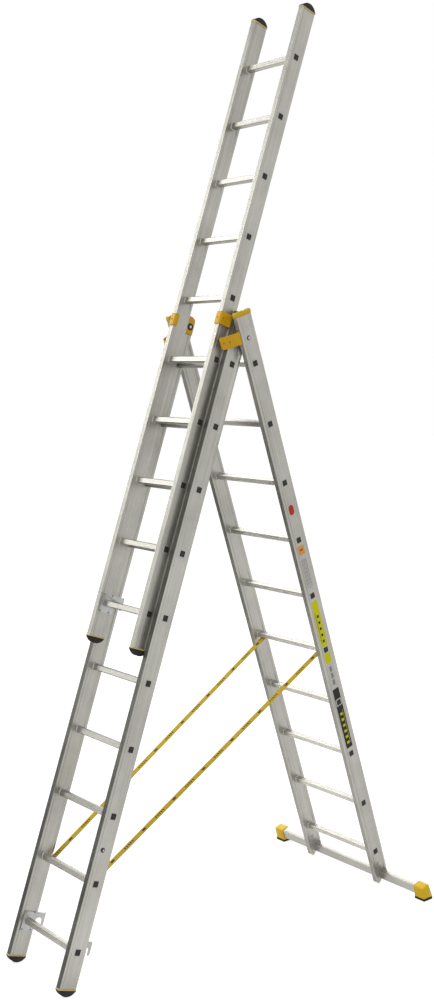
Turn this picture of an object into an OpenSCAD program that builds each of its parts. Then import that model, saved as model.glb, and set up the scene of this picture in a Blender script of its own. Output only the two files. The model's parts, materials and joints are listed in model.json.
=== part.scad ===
// Three-section combination ladder: two leaning sections hinged near the top,
// and a third section that slides up the front one. Millimetres, +Z up.
// Origin: on the floor, midway between the front feet and the stabiliser.

/* [Ladder] */
// Rungs in each section
rung_count = 10; // [8:1:12]
// Distance from one rung to the next
rung_pitch = 280; // [250:5:300]
// Lean of each leg from upright, in degrees
lean = 19; // [14:0.5:24]
// Rungs by which the top section is run out
extended_rungs = 5; // [0:1:6]
// Distance from one section's plane to the next one's
plane_offset = 62; // [60:0.5:70]

/* [Section widths] */
// Outer width of the top section
top_w = 336; // [280:1:400]
// Gap between the stiles of the top and the middle section, side by side
top_side_gap = 9.5; // [8:0.5:16]
// Gap between the stiles of the middle and the rear section, side by side
middle_side_gap = 12; // [11:0.5:20]

/* [Stiles] */
// Thickness of a stile, across the ladder
stile_t = 25; // [22:0.5:26]
// Wall of the stile tube
stile_wall = 2; // [1.5:0.1:3]
// Depth of the shallow channel between a stile's edge ribs
web_recess = 2; // [0.5:0.1:2.5]
// Width of the rib along each edge of a stile
edge_rib = 14; // [8:0.5:18]
// Rung axis to the stile's front edge, rear section
rear_front = 40; // [36:0.5:42]
// Rung axis to the stile's rear edge, rear section
rear_back = 44; // [36:0.5:50]
// Rung axis to the stile's front edge, middle section
middle_front = 46; // [40:0.5:48]
// Rung axis to the stile's rear edge, middle section
middle_back = 40; // [34:0.5:41]
// Rung axis to either edge of a stile, top section
top_half_depth = 40; // [34:0.5:41]
// Top rung axis to the end of the rear stile
rear_top = 232; // [225:1:300]
// Top rung axis to the end of the middle stile
middle_top = 222; // [212:1:300]
// Top rung axis to the end of the top stile
top_top = 224; // [150:1:300]
// Lowest rung axis to the bottom of a middle or top stile
stile_below = 149; // [110:1:220]

/* [Rungs] */
// Side of the square rung tube
rung_side = 27; // [26:0.5:29]
// Wall of the rung tube
rung_wall = 2; // [1.5:0.1:3]
// Bevel on the rung's corners
rung_bevel = 3.5; // [2:0.1:4.5]
// Turn of the rungs in their stiles, 0 with the treads square to the stiles
tread_tilt = 0; // [0:1:20]
// Gap around a rung in its stile
rung_fit = 0.1; // [0.05:0.05:0.3]
// Side of the visible rung plug
plug_side = 24; // [23.5:0.5:26]
// How far a plug stands out past the stile's ribs
plug_proud = 1; // [0.5:0.1:3]
// Length of a plug's shank in the rung
plug_shank = 14; // [8:1:25]

/* [Feet and end caps] */
// Thickness of the coloured band above a foot
band_t = 5; // [3:0.5:10]
// Overhang of bands and feet around the stile
foot_overhang = 1.5; // [0.5:0.1:3]
// Rise of the rounded rubber foot
foot_rise = 26; // [18:1:36]
// Length of a foot's shank in the stile
foot_shank = 40; // [20:1:60]
// Gap around a foot's shank
foot_fit = 0.2; // [0.1:0.05:0.5]
// Height of the rear stile's cap
cap_h = 21; // [14:1:30]
// Thickness of the cap over the stile's end
cap_top = 3; // [2:0.5:6]

/* [Hinge] */
// Hinge axis above the rear section's top rung
hinge_up = 55; // [45:1:70]
// Hinge axis in front of the rear section's plane
hinge_forward = 10; // [4:0.5:16]
// How much lower the middle section hangs than the rear one when folded
nest_shift = 19.5; // [12:0.5:24]
// Diameter of the hinge pin
pin_d = 12; // [8:0.5:14]
// Radial clearance of the pin in its ear
pin_fit = 0.05; // [0.01:0.01:0.1]
// Thickness of a hinge ear
ear_t = 4; // [3:0.5:5]
// Radius of the ear around its pin
ear_r = 14; // [11:0.5:18]

/* [Guide brackets] */
// Sheet thickness of the brackets
sheet_t = 3; // [2:0.5:4]
// Height of the brackets along the stile
bracket_h = 55; // [40:1:55]
// Gap between a bracket and the stile that slides in it
slide_gap = 2; // [1:0.5:3]
// Bottom of the middle section's brackets above its top rung
guide_up = 150; // [120:1:160]
// Length of the guide bracket's lip behind the top stile
guide_lip = 22; // [15:1:23]
// Bottom of the rear section's brackets above its top rung
loop_up = 100; // [85:1:130]
// Gap in front of the middle stile in the rear brackets, folded
loop_gap = 9; // [8:0.5:12]
// Length of the straight part of the rear bracket's front lip
loop_lip = 10; // [8:0.5:14]
// Width and depth of the bevel between a rear bracket's side and lip
loop_bevel = 12; // [8:0.5:12]

/* [Hooks] */
// Radial gap between a hook and the rung it sits on
hook_gap = 0.5; // [0.4:0.1:1.5]
// Width of the hook's free arm
hook_arm = 12; // [8:0.5:16]
// Half height of the hook plate
hook_half = 43; // [41:0.5:48]
// Height of the hook's arm below the rung axis
hook_drop = 18; // [14:1:30]
// Distance from the middle section's plane to the rung its hooks take in the long set-up
middle_hook_reach = 54; // [52:0.5:62]
// Diameter of the rivet heads
rivet_d = 8; // [5:0.5:9]
// Height of the rivet heads
rivet_h = 1.6; // [1:0.1:3]

/* [Stabiliser] */
// Length of the stabiliser over its end caps
beam_l = 1020; // [800:10:1200]
// Height of the beam along the stile
beam_h = 45; // [35:1:55]
// Depth of the beam
beam_d = 40; // [30:1:42]
// Wall of the beam
beam_wall = 2; // [1.5:0.1:3]
// Centre of the beam above the floor
beam_z = 50; // [45:1:70]
// Front of the beam in front of the rear section's plane
beam_front = 3; // [0:0.5:8]
// Length of the end caps
beam_cap_l = 58; // [40:1:80]
// Wall of the end caps
beam_cap_t = 3; // [2:0.5:5]
// Thickness of the rubber soles
sole_t = 11; // [6:0.5:14]
// Depth of the soles
sole_d = 60; // [50:1:80]
// How far the stile's tongue reaches past the beam
tongue_below = 8; // [4:1:12]

/* [Straps] */
// Rung of the middle section that holds the straps, counted from the top
strap_rung_front = 9; // [7:1:10]
// Rung of the rear section that holds the straps, counted from the top
strap_rung_rear = 6; // [5:1:8]
// Width of the webbing
strap_w = 30; // [20:1:32]
// Thickness of the webbing
strap_t = 1.8; // [1:0.1:2.5]
// Gap between a strap and the stile beside it
strap_side_gap = 9; // [5:1:20]
// Gap between a rung and the webbing round it
strap_fit = 0.3; // [0.1:0.1:1]

/* [Hidden] */
$fn = 48;
eps = 1;

alu = [0.72, 0.73, 0.71];
yellow = [0.85, 0.66, 0.10];
amber = [0.80, 0.58, 0.08];
black = [0.08, 0.08, 0.08];
steel = [0.78, 0.78, 0.80];

middle_w = top_w + 2 * (stile_t + top_side_gap);
rear_w = middle_w + 2 * (stile_t + middle_side_gap);
rung_span = (rung_count - 1) * rung_pitch;
section_bottom = rung_span + stile_below;
rung_corner = norm([rung_side / 2, rung_side / 2 - rung_bevel]);
hook_r = rung_corner + hook_gap;

// feet of the middle and top sections: a circular arc across the stile's depth
function foot_half(depth) = depth / 2 + foot_overhang;
function foot_r(depth) = (pow(foot_half(depth), 2) + pow(foot_rise, 2)) / (2 * foot_rise);
middle_depth = middle_front + middle_back;
middle_foot_z = section_bottom + band_t + foot_rise - foot_r(middle_depth);
middle_foot_y = (middle_back - middle_front) / 2;

// the middle section stands on its feet, and the hinge carries the rear one
middle_z = middle_foot_z * cos(lean) + middle_foot_y * sin(lean) + foot_r(middle_depth);
hinge_mid_y = plane_offset - hinge_forward;
hinge_mid_z = hinge_up + nest_shift;
hinge_z = middle_z - hinge_mid_y * sin(lean) + hinge_mid_z * cos(lean);
rear_z = hinge_z + hinge_forward * sin(lean) - hinge_up * cos(lean);
beam_y = beam_d / 2 - beam_front;
beam_s = (rear_z + beam_y * sin(lean) - beam_z) / cos(lean);
rear_bottom = beam_s + beam_h / 2 + tongue_below;

// distances from the hinge to the foremost foot and the rearmost sole set the origin
front_reach = (hinge_mid_z + section_bottom + band_t) * sin(lean)
    + (hinge_mid_y + middle_front + foot_overhang) * cos(lean);
sole_y = beam_y * cos(lean) + beam_s * sin(lean) + (beam_z - sole_t) * tan(lean);
rear_reach = sole_y + hinge_up * sin(lean) + hinge_forward * cos(lean) + sole_d / 2;
hinge_y = (front_reach - rear_reach) / 2;
rear_y = hinge_y + hinge_forward * cos(lean) + hinge_up * sin(lean);
middle_y = hinge_y - hinge_mid_y * cos(lean) - hinge_mid_z * sin(lean);

// world Y and Z of a point in the rear or the middle section's plane
function rear_point(y, z) =
    [rear_y + y * cos(lean) - z * sin(lean), rear_z + y * sin(lean) + z * cos(lean)];
function middle_point(y, z) =
    [middle_y + y * cos(lean) + z * sin(lean), middle_z - y * sin(lean) + z * cos(lean)];

module place_rear() translate([0, rear_y, rear_z]) rotate([lean, 0, 0]) children();
module place_middle() translate([0, middle_y, middle_z]) rotate([-lean, 0, 0]) children();
module place_top() place_middle() translate([0, -plane_offset, extended_rungs * rung_pitch]) children();
module left_too() { children(); mirror([1, 0, 0]) children(); }
module along_rungs() for (k = [0:rung_count - 1]) translate([0, 0, -k * rung_pitch]) children();

// a strip of sheet of thickness t that follows the path p
function side_of(a, b) = let (d = b - a) [-d[1], d[0]] / norm(d);
function strip_edge(p, d) = [for (i = [0:len(p) - 1])
    let (n0 = side_of(p[max(i - 1, 0)], p[max(i, 1)]),
         n1 = side_of(p[min(i, len(p) - 2)], p[min(i + 1, len(p) - 1)]))
    p[i] + (n0 + n1) * d / (1 + n0 * n1)];
module strip(p, t) {
    back = strip_edge(p, -t / 2);
    polygon(concat(strip_edge(p, t / 2), [for (i = [len(p) - 1:-1:0]) back[i]]));
}

// square with bevelled corners
module bevelled_square(w, b) {
    h = w / 2;
    polygon([[-h + b, -h], [h - b, -h], [h, -h + b], [h, h - b],
        [h - b, h], [-h + b, h], [-h, h - b], [-h, -h + b]]);
}
// bar along X between two X positions, its profile given in Y and Z
module along_x(x0, x1) translate([x0, 0, 0]) rotate([90, 0, 90]) linear_extrude(height = x1 - x0) children();
// round bar along X
module round_x(r, x0, x1) translate([x0, 0, 0]) rotate([0, 90, 0]) cylinder(r = r, h = x1 - x0);

// ---- stiles ----
module stile_profile(front, back) {
    depth = front + back;
    difference() {
        translate([-stile_t, -front]) square([stile_t, depth]);
        for (x = [-web_recess, -stile_t - eps])
            translate([x, -front + edge_rib]) square([web_recess + eps, depth - 2 * edge_rib]);
        translate([-stile_t + web_recess + stile_wall, -front + stile_wall])
            square([stile_t - 2 * web_recess - 2 * stile_wall, depth - 2 * stile_wall]);
    }
}
// right stile of a section with outer width w, with its rung holes
module stile(w, front, back, top, bottom) difference() {
    translate([w / 2, 0, -bottom]) linear_extrude(height = top + bottom) stile_profile(front, back);
    along_rungs() rotate([tread_tilt, 0, 0])
        along_x(w / 2 - stile_t - eps, w / 2 + eps) bevelled_square(rung_side + 2 * rung_fit, rung_bevel);
}
module rear_stile() difference() {
    stile(rear_w, rear_front, rear_back, rear_top, rear_bottom);
    // seat of the stabiliser beam
    translate([rear_w / 2 - stile_t - eps, -beam_front, -rear_bottom - eps])
        cube([stile_t + 2 * eps, rear_back + beam_front + eps, tongue_below + beam_h + eps]);
    // round end of the tongue
    tongue_r = (rear_front - beam_front) / 2;
    translate([0, -beam_front - tongue_r, -rear_bottom + tongue_r]) difference() {
        translate([rear_w / 2 - stile_t - eps, -tongue_r - eps, -tongue_r - eps])
            cube([stile_t + 2 * eps, 2 * tongue_r + 2 * eps, tongue_r + eps]);
        round_x(tongue_r, rear_w / 2 - stile_t - 2 * eps, rear_w / 2 + 2 * eps);
    }
    // hinge pin and bolts
    rear_pin_at() round_x(pin_d / 2 + pin_fit, rear_w / 2 - stile_t - eps, rear_w / 2 - stile_t / 2);
    loop_bolt_at() round_x(loop_bolt_d / 2 + bolt_fit, rear_w / 2 - stile_t - eps, rear_w / 2 + eps);
    beam_bolts_at() round_x(beam_bolt_d / 2 + bolt_fit, rear_w / 2 - stile_t - eps, rear_w / 2 + eps);
}
module rear_stile_right() color(alu) place_rear() rear_stile();
module rear_stile_left() color(alu) place_rear() mirror([1, 0, 0]) rear_stile();
module middle_stile() stile(middle_w, middle_front, middle_back, middle_top, section_bottom);
module middle_stile_right() color(alu) place_middle() middle_stile();
module middle_stile_left() color(alu) place_middle() mirror([1, 0, 0]) middle_stile();
module top_stile() stile(top_w, top_half_depth, top_half_depth, top_top, section_bottom);
module top_stile_right() color(alu) place_top() top_stile();
module top_stile_left() color(alu) place_top() mirror([1, 0, 0]) top_stile();

// ---- rungs and their plugs ----
module rung_bore(fit) bevelled_square(rung_side - 2 * rung_wall - 2 * fit, rung_bevel / 2);
module rungs(w) along_rungs() rotate([tread_tilt, 0, 0])
    along_x(-w / 2 + web_recess, w / 2 - web_recess) difference() {
        bevelled_square(rung_side, rung_bevel);
        rung_bore(0);
    }
module rung_plugs(w) along_rungs() rotate([tread_tilt, 0, 0]) left_too() {
    x = w / 2 - web_recess;
    along_x(x, w / 2 + plug_proud) square(plug_side, center = true);
    along_x(x - plug_shank, x) rung_bore(rung_fit);
}
module rear_rungs() color(alu) place_rear() rungs(rear_w);
module middle_rungs() color(alu) place_middle() rungs(middle_w);
module top_rungs() color(alu) place_top() rungs(top_w);
module rear_rung_plugs() color(black) place_rear() rung_plugs(rear_w);
module middle_rung_plugs() color(black) place_middle() rung_plugs(middle_w);
module top_rung_plugs() color(black) place_top() rung_plugs(top_w);

// ---- feet and end caps, drawn for the lower end of a right stile of width w ----
module shank_space(front, back, fit) {
    space_x = stile_t - 2 * web_recess - 2 * stile_wall;
    space_y = front + back - 2 * stile_wall;
    translate([-stile_t + web_recess + stile_wall + fit, -front + stile_wall + fit])
        square([space_x - 2 * fit, space_y - 2 * fit]);
}
module end_band(w, front, back) translate([w / 2, 0, -band_t]) linear_extrude(height = band_t) difference() {
    translate([-stile_t - foot_overhang, -front - foot_overhang])
        square([stile_t + 2 * foot_overhang, front + back + 2 * foot_overhang]);
    shank_space(front, back, 0);
}
module end_foot(w, front, back) {
    r = foot_r(front + back);
    half = foot_half(front + back);
    translate([0, (back - front) / 2, -band_t])
        along_x(w / 2 - stile_t - foot_overhang, w / 2 + foot_overhang) intersection() {
            translate([0, r - foot_rise]) circle(r = r, $fn = 96);
            translate([-half, -foot_rise - eps]) square([2 * half, foot_rise + eps]);
        }
    translate([w / 2, 0, -band_t]) linear_extrude(height = band_t + foot_shank)
        shank_space(front, back, foot_fit);
}
module middle_end() translate([0, 0, -section_bottom]) children();
module top_ends() {
    translate([0, 0, -section_bottom]) children();
    translate([0, 0, top_top]) mirror([0, 0, 1]) children();
}
module middle_foot_bands() color(yellow) place_middle() left_too() middle_end()
    end_band(middle_w, middle_front, middle_back);
module middle_feet() color(black) place_middle() left_too() middle_end()
    end_foot(middle_w, middle_front, middle_back);
module top_end_bands() color(yellow) place_top() left_too() top_ends()
    end_band(top_w, top_half_depth, top_half_depth);
module top_end_caps() color(black) place_top() left_too() top_ends()
    end_foot(top_w, top_half_depth, top_half_depth);
module middle_stile_caps() color(black) place_middle() left_too() translate([middle_w / 2, 0, middle_top]) {
    translate([-stile_t, -middle_front, 0]) cube([stile_t, middle_depth, cap_top]);
    translate([0, 0, -foot_shank / 2]) linear_extrude(height = foot_shank / 2)
        shank_space(middle_front, middle_back, foot_fit);
}
module rear_stile_caps() color(yellow) place_rear() left_too()
    translate([rear_w / 2, 0, rear_top + cap_top - cap_h]) difference() {
        translate([-stile_t - foot_overhang, -rear_front - foot_overhang, 0])
            cube([stile_t + 2 * foot_overhang, rear_front + rear_back + 2 * foot_overhang, cap_h]);
        translate([-stile_t, -rear_front, -eps])
            cube([stile_t, rear_front + rear_back, cap_h - cap_top + eps]);
    }

// ---- hinge between the rear and the middle section ----
ear_inner = middle_w / 2;
ear_outer = middle_w / 2 + ear_t;
ear_gap = 0.4;
collar_t = 3;
collar_r = 9;
module rear_pin_at() translate([0, -hinge_forward, hinge_up]) children();
module middle_pin_at() translate([0, hinge_mid_y, hinge_mid_z]) children();
module hinge_pins() color(steel) place_rear() left_too() rear_pin_at() {
    web = rear_w / 2 - stile_t + web_recess;
    round_x(pin_d / 2, ear_inner - ear_gap - collar_t, web + stile_wall + collar_t);
    round_x(collar_r, ear_inner - ear_gap - collar_t, ear_inner - ear_gap);
    round_x(collar_r, ear_outer + ear_gap, web);
    round_x(collar_r, web + stile_wall, web + stile_wall + collar_t);
}
ear_up = 30;
ear_down = 22;
ear_lap = 30;
module hinge_ears() color(steel) place_middle() left_too() difference() {
    union() {
        along_x(ear_inner, ear_outer) polygon([[middle_back - ear_lap, hinge_mid_z - ear_down],
            [hinge_mid_y, hinge_mid_z - ear_r], [hinge_mid_y, hinge_mid_z + ear_r],
            [middle_back - ear_lap, hinge_mid_z + ear_up]]);
        middle_pin_at() round_x(ear_r, ear_inner, ear_outer);
    }
    middle_pin_at() round_x(pin_d / 2 + pin_fit, ear_inner - eps, ear_outer + eps);
}
module hinge_ear_rivets() color(steel) place_middle() left_too() for (dz = [-ear_down / 2, ear_up / 2])
    translate([0, middle_back - ear_lap / 2, hinge_mid_z + dz])
        round_x(rivet_d / 2, ear_outer, ear_outer + rivet_h);

// ---- loop brackets on the rear section ----
bolt_fit = 0.1;
loop_bolt_d = 10;
loop_bolt_up = 15;
loop_head_t = 4.5;
loop_nut_t = 4;
loop_head_over = 3;
loop_arm = 22;
loop_side_gap = 4;
loop_rivet_share = 0.25;
loop_x = middle_w / 2 + loop_side_gap + sheet_t / 2;
loop_front = plane_offset + middle_front + loop_gap + sheet_t / 2;
loop_arm_x = rear_w / 2 - stile_t - sheet_t / 2;
loop_path = [[loop_arm_x, loop_arm], [loop_arm_x, -rear_front - sheet_t / 2],
    [rear_w / 2 - sheet_t / 2, -rear_front - sheet_t / 2],
    [loop_x, -loop_front + loop_bevel], [loop_x - loop_bevel, -loop_front],
    [loop_x - loop_bevel - loop_lip, -loop_front]];
module loop_bolt_at() translate([0, 0, loop_up + loop_bolt_up]) children();
module rear_bracket() difference() {
    translate([0, 0, loop_up]) linear_extrude(height = bracket_h) strip(loop_path, sheet_t);
    loop_bolt_at() round_x(loop_bolt_d / 2 + bolt_fit, loop_arm_x - sheet_t, loop_arm_x + sheet_t);
}
module rear_bracket_right() color(amber) place_rear() rear_bracket();
module rear_bracket_left() color(amber) place_rear() mirror([1, 0, 0]) rear_bracket();
module rear_bracket_bolts() color(steel) place_rear() left_too() loop_bolt_at() {
    web = rear_w / 2 - web_recess;
    inner = loop_arm_x - sheet_t / 2;
    round_x(loop_bolt_d / 2, inner - loop_nut_t, web + loop_head_t);
    round_x(loop_bolt_d / 2 + loop_head_over, web, web + loop_head_t);
    round_x(loop_bolt_d / 2 + loop_head_over, inner - loop_nut_t, inner);
}
module rear_bracket_rivets() color(steel) place_rear() left_too() {
    bevel = loop_path[4] - loop_path[3];
    plate = loop_path[3] - loop_path[2];
    on_bevel = loop_path[3] + bevel / 2;
    on_plate = loop_path[3] - plate * loop_rivet_share;
    for (at = [[on_bevel, bevel], [on_plate, plate]])
        translate([at[0][0], at[0][1], loop_up + bracket_h / 2])
            rotate([0, 0, atan2(at[1][1], at[1][0]) + 90])
                round_x(rivet_d / 2, sheet_t / 2, sheet_t / 2 + rivet_h);
}

// ---- guide brackets on the middle section ----
guide_x = top_w / 2 + slide_gap + sheet_t / 2;
guide_front = plane_offset + top_half_depth + slide_gap + sheet_t / 2;
guide_lip_x = top_w / 2 - stile_t - slide_gap - sheet_t / 2;
guide_arm_x = middle_w / 2 - stile_t - sheet_t / 2;
guide_arm_end = 0.5;
guide_leaf_over = 7;
guide_leaf_cut = [6, 7, 20];
guide_step = [2, 16];
guide_rivet_in = 16;
guide_path = [[guide_arm_x, middle_back - guide_arm_end], [guide_arm_x, -middle_front - guide_step[0]],
    [guide_x, -middle_front - guide_step[1]], [guide_x, -guide_front], [guide_lip_x, -guide_front],
    [guide_lip_x, -guide_front + guide_lip]];
guide_bolt_y = 18;
guide_bolt_up = 35;
guide_bolt_d = 8;
guide_head_t = 2;
guide_head_over = 3;
washer_r = 16;
washer_t = 2.5;
module guide_bolt_at() translate([0, guide_bolt_y, guide_up + guide_bolt_up]) children();
// the bracket's leaf on the stile covers the stile's top end, its upper corner cut off
module guide_leaf() along_x(guide_arm_x - sheet_t / 2, guide_arm_x + sheet_t / 2) {
    end = middle_back - guide_arm_end;
    top = middle_top + cap_top + guide_leaf_over;
    polygon([[-middle_front, guide_up], [end, guide_up], [end, top - guide_leaf_cut[2]],
        [end - guide_leaf_cut[0], top - guide_leaf_cut[1]], [end - guide_leaf_cut[2], top],
        [-middle_front, top]]);
}
module guide_bracket() difference() {
    union() {
        translate([0, 0, guide_up]) linear_extrude(height = bracket_h) strip(guide_path, sheet_t);
        guide_leaf();
    }
    guide_bolt_at() round_x(guide_bolt_d / 2 + bolt_fit, guide_arm_x - sheet_t, guide_arm_x + sheet_t);
}
module guide_bracket_right() color(amber) place_middle() guide_bracket();
module guide_bracket_left() color(amber) place_middle() mirror([1, 0, 0]) guide_bracket();
module guide_bracket_washers() color(black) place_middle() left_too() guide_bolt_at() difference() {
    round_x(washer_r, guide_arm_x - sheet_t / 2 - washer_t, guide_arm_x - sheet_t / 2);
    round_x(guide_bolt_d / 2 + bolt_fit, guide_arm_x - sheet_t - washer_t, guide_arm_x);
}
module guide_bracket_bolts() color(steel) place_middle() left_too() guide_bolt_at() {
    seat = guide_arm_x - sheet_t / 2 - washer_t;
    round_x(guide_bolt_d / 2, seat - guide_head_t, guide_arm_x + sheet_t / 2);
    round_x(guide_bolt_d / 2 + guide_head_over, seat - guide_head_t, seat);
}
module guide_bracket_rivets() color(steel) place_middle() left_too() {
    up = guide_up + bracket_h / 2;
    translate([guide_x, -guide_front + guide_rivet_in, up])
        round_x(rivet_d / 2, sheet_t / 2, sheet_t / 2 + rivet_h);
    translate([top_w / 2 - stile_t / 2, -guide_front, up]) rotate([0, 0, -90])
        round_x(rivet_d / 2, sheet_t / 2, sheet_t / 2 + rivet_h);
}

// ---- hooks on the lowest rung of the middle and top sections ----
hook_front = 29;
// hook whose slot lies this far behind the section's plane
module hook_shape(reach) difference() {
    inner = reach - hook_r;
    outer = reach + hook_r;
    tip = outer + hook_arm;
    polygon([[-hook_front, -hook_half], [inner, -hook_half], [inner, 0], [outer, 0], [outer, -hook_drop],
        [tip - hook_arm / 3, -hook_drop], [tip, -hook_drop + hook_arm / 2],
        [tip, hook_half - hook_arm / 2], [tip - hook_arm / 2, hook_half], [-hook_front, hook_half]]);
    translate([reach, 0]) circle(r = hook_r, $fn = 64);
    rotate(tread_tilt) bevelled_square(rung_side + 2 * rung_fit, rung_bevel);
}
module hook(w, reach) translate([0, 0, -rung_span])
    along_x(w / 2 - stile_t - sheet_t, w / 2 - stile_t) hook_shape(reach);
hook_rivet_y = 23;
hook_rivet_z = 37;
module hook_rivets(w) {
    plate = w / 2 - stile_t - sheet_t;
    for (y = [-hook_rivet_y, hook_rivet_y], z = [-hook_rivet_z, hook_rivet_z])
        translate([0, y, z - rung_span]) round_x(rivet_d / 2, plate - rivet_h, plate);
}
module middle_hook_right() color(steel) place_middle() hook(middle_w, middle_hook_reach);
module middle_hook_left() color(steel) place_middle() mirror([1, 0, 0]) hook(middle_w, middle_hook_reach);
module middle_hook_rivets() color(steel) place_middle() left_too() hook_rivets(middle_w);
module top_hook_right() color(steel) place_top() hook(top_w, plane_offset);
module top_hook_left() color(steel) place_top() mirror([1, 0, 0]) hook(top_w, plane_offset);
module top_hook_rivets() color(steel) place_top() left_too() hook_rivets(top_w);

// ---- stabiliser beam across the rear section's foot ----
beam_bolt_d = 8;
beam_bolt_up = [16, 46];
beam_bolt_y = [11, 0];
beam_head_t = 4;
beam_nut_t = 5;
beam_head_over = 2.5;
module beam_bolts_at() for (i = [0, 1])
    translate([0, beam_bolt_y[i], -beam_s + beam_h / 2 + beam_bolt_up[i]]) children();
module stabiliser_beam() color(alu) place_rear() translate([0, beam_y, -beam_s])
    along_x(-beam_l / 2 + beam_cap_t, beam_l / 2 - beam_cap_t) difference() {
        square([beam_d, beam_h], center = true);
        square([beam_d - 2 * beam_wall, beam_h - 2 * beam_wall], center = true);
    }
module beam_caps() color(yellow) left_too() difference() {
    along_x(beam_l / 2 - beam_cap_l, beam_l / 2) {
        low = rear_point(beam_y, -beam_s)[0] + (beam_z - sole_t) * tan(lean);
        polygon([[low - sole_d / 2, sole_t], [low + sole_d / 2, sole_t],
            rear_point(beam_y + beam_d / 2 + beam_cap_t, -beam_s + beam_h / 2 + beam_cap_t),
            rear_point(beam_y - beam_d / 2 - beam_cap_t, -beam_s + beam_h / 2 + beam_cap_t)]);
    }
    place_rear() translate([0, beam_y, -beam_s])
        along_x(beam_l / 2 - beam_cap_l - eps, beam_l / 2 - beam_cap_t)
            square([beam_d, beam_h], center = true);
}
module beam_soles() color(black) left_too() translate([beam_l / 2 - beam_cap_l, rear_point(beam_y, -beam_s)[0]
    + (beam_z - sole_t) * tan(lean) - sole_d / 2, 0]) cube([beam_cap_l, sole_d, sole_t]);
module beam_bolts() color(steel) place_rear() left_too() beam_bolts_at() {
    web = rear_w / 2 - web_recess;
    inner = rear_w / 2 - stile_t + web_recess;
    round_x(beam_bolt_d / 2, inner - beam_nut_t, web + beam_head_t);
    round_x(beam_bolt_d / 2 + beam_head_over, web, web + beam_head_t);
    round_x(beam_bolt_d / 2 + beam_head_over, inner - beam_nut_t, inner);
}

// ---- screws through the middle stiles, halfway between two rungs ----
side_screw_down = 7.5 * rung_pitch;
side_screw_y = -9;
side_washer_r = 10;
side_washer_t = 3;
side_head_r = 5;
side_head_t = 5;
module middle_side_screws() place_middle() left_too() translate([0, side_screw_y, -side_screw_down]) {
    web = middle_w / 2 - web_recess;
    color(black) round_x(side_washer_r, web, web + side_washer_t);
    color(steel) round_x(side_head_r, web + side_washer_t, web + side_washer_t + side_head_t);
}

// ---- plain labels on the web of the rear right stile ----
label_t = 0.4;
label_w = 40;
badge_w = 30;
badge_l = 46;
badge_at = 2.47;
// [top end, bottom end, colour], the ends in rung pitches below the top rung
labels = [[3.1, 3.26, [0.90, 0.62, 0.30]], [3.26, 3.9, [0.80, 0.77, 0.74]], [4.1, 5.25, [0.85, 0.80, 0.12]],
    [5.25, 5.72, [0.84, 0.83, 0.81]], [5.74, 6.88, [0.07, 0.07, 0.07]]];
module stile_labels() place_rear() {
    web = rear_w / 2 - web_recess;
    color([0.78, 0.13, 0.11]) along_x(web, web + label_t) translate([0, -badge_at * rung_pitch]) {
        square([badge_w, badge_l - badge_w], center = true);
        for (y = [-1, 1]) translate([0, y * (badge_l - badge_w) / 2]) circle(d = badge_w);
    }
    for (l = labels) color(l[2]) difference() {
        along_x(web, web + label_t) translate([-label_w / 2, -l[1] * rung_pitch])
            square([label_w, (l[1] - l[0]) * rung_pitch]);
        along_rungs() rotate([tread_tilt, 0, 0]) along_x(web - eps, web + eps)
            square(rung_side + 4 * rung_fit, center = true);
    }
}

// ---- straps between the two legs ----
strap_x_front = middle_w / 2 - stile_t - strap_side_gap - strap_w / 2;
strap_x_rear = rear_w / 2 - stile_t - strap_side_gap - strap_w / 2;
// the webbing's middle lies this far from the rung's axis, and turns this far along each side
strap_off = rung_side / 2 + strap_fit + strap_t / 2;
strap_turn = strap_off - rung_bevel - (2 - sqrt(2)) * (strap_fit + strap_t / 2);
strap_flap = 9;
strap_front_up = -(strap_rung_front - 1) * rung_pitch;
strap_rear_up = -(strap_rung_rear - 1) * rung_pitch;
strap_from = middle_point(strap_off, strap_front_up - strap_turn);
strap_to = rear_point(strap_turn, strap_rear_up - strap_off);
strap_run = [strap_x_rear - strap_x_front, strap_to[0] - strap_from[0], strap_to[1] - strap_from[1]];
// an end is folded round the rung's lower rear bevel, and the run starts at the fold p
module strap_end(x, path, p) {
    along_x(x - strap_w / 2, x + strap_w / 2) strip(path, strap_t);
    translate([0, p[0], p[1]]) round_x(strap_t / 2, x - strap_w / 2, x + strap_w / 2);
}
module strap() {
    under = [strap_turn, -strap_off];
    behind = [strap_off, -strap_turn];
    place_middle() translate([0, 0, strap_front_up])
        strap_end(strap_x_front, [[-strap_flap, -strap_off], under, behind], behind);
    place_rear() translate([0, 0, strap_rear_up])
        strap_end(strap_x_rear, [[strap_off, strap_flap], behind, under], under);
    translate([strap_x_front, strap_from[0], strap_from[1]])
        rotate([asin(strap_run[2] / norm(strap_run)), 0, atan2(-strap_run[0], strap_run[1])])
        translate([-strap_w / 2, 0, -strap_t / 2])
        cube([strap_w, norm(strap_run), strap_t]);
}
module strap_right() color(yellow) strap();
module strap_left() color(yellow) mirror([1, 0, 0]) strap();
// heads of the screws that hold the ends: under the front rung, behind the rear one
strap_head_r = 5;
strap_head_t = 2;
module strap_head() cylinder(r = strap_head_r, h = strap_head_t);
module strap_screws_front() color(steel) place_middle() left_too()
    translate([strap_x_front, 0, strap_front_up - strap_off - strap_t / 2 - strap_head_t]) strap_head();
module strap_screws_rear() color(steel) place_rear() left_too()
    translate([strap_x_rear, strap_off + strap_t / 2, strap_rear_up]) rotate([-90, 0, 0]) strap_head();

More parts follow.
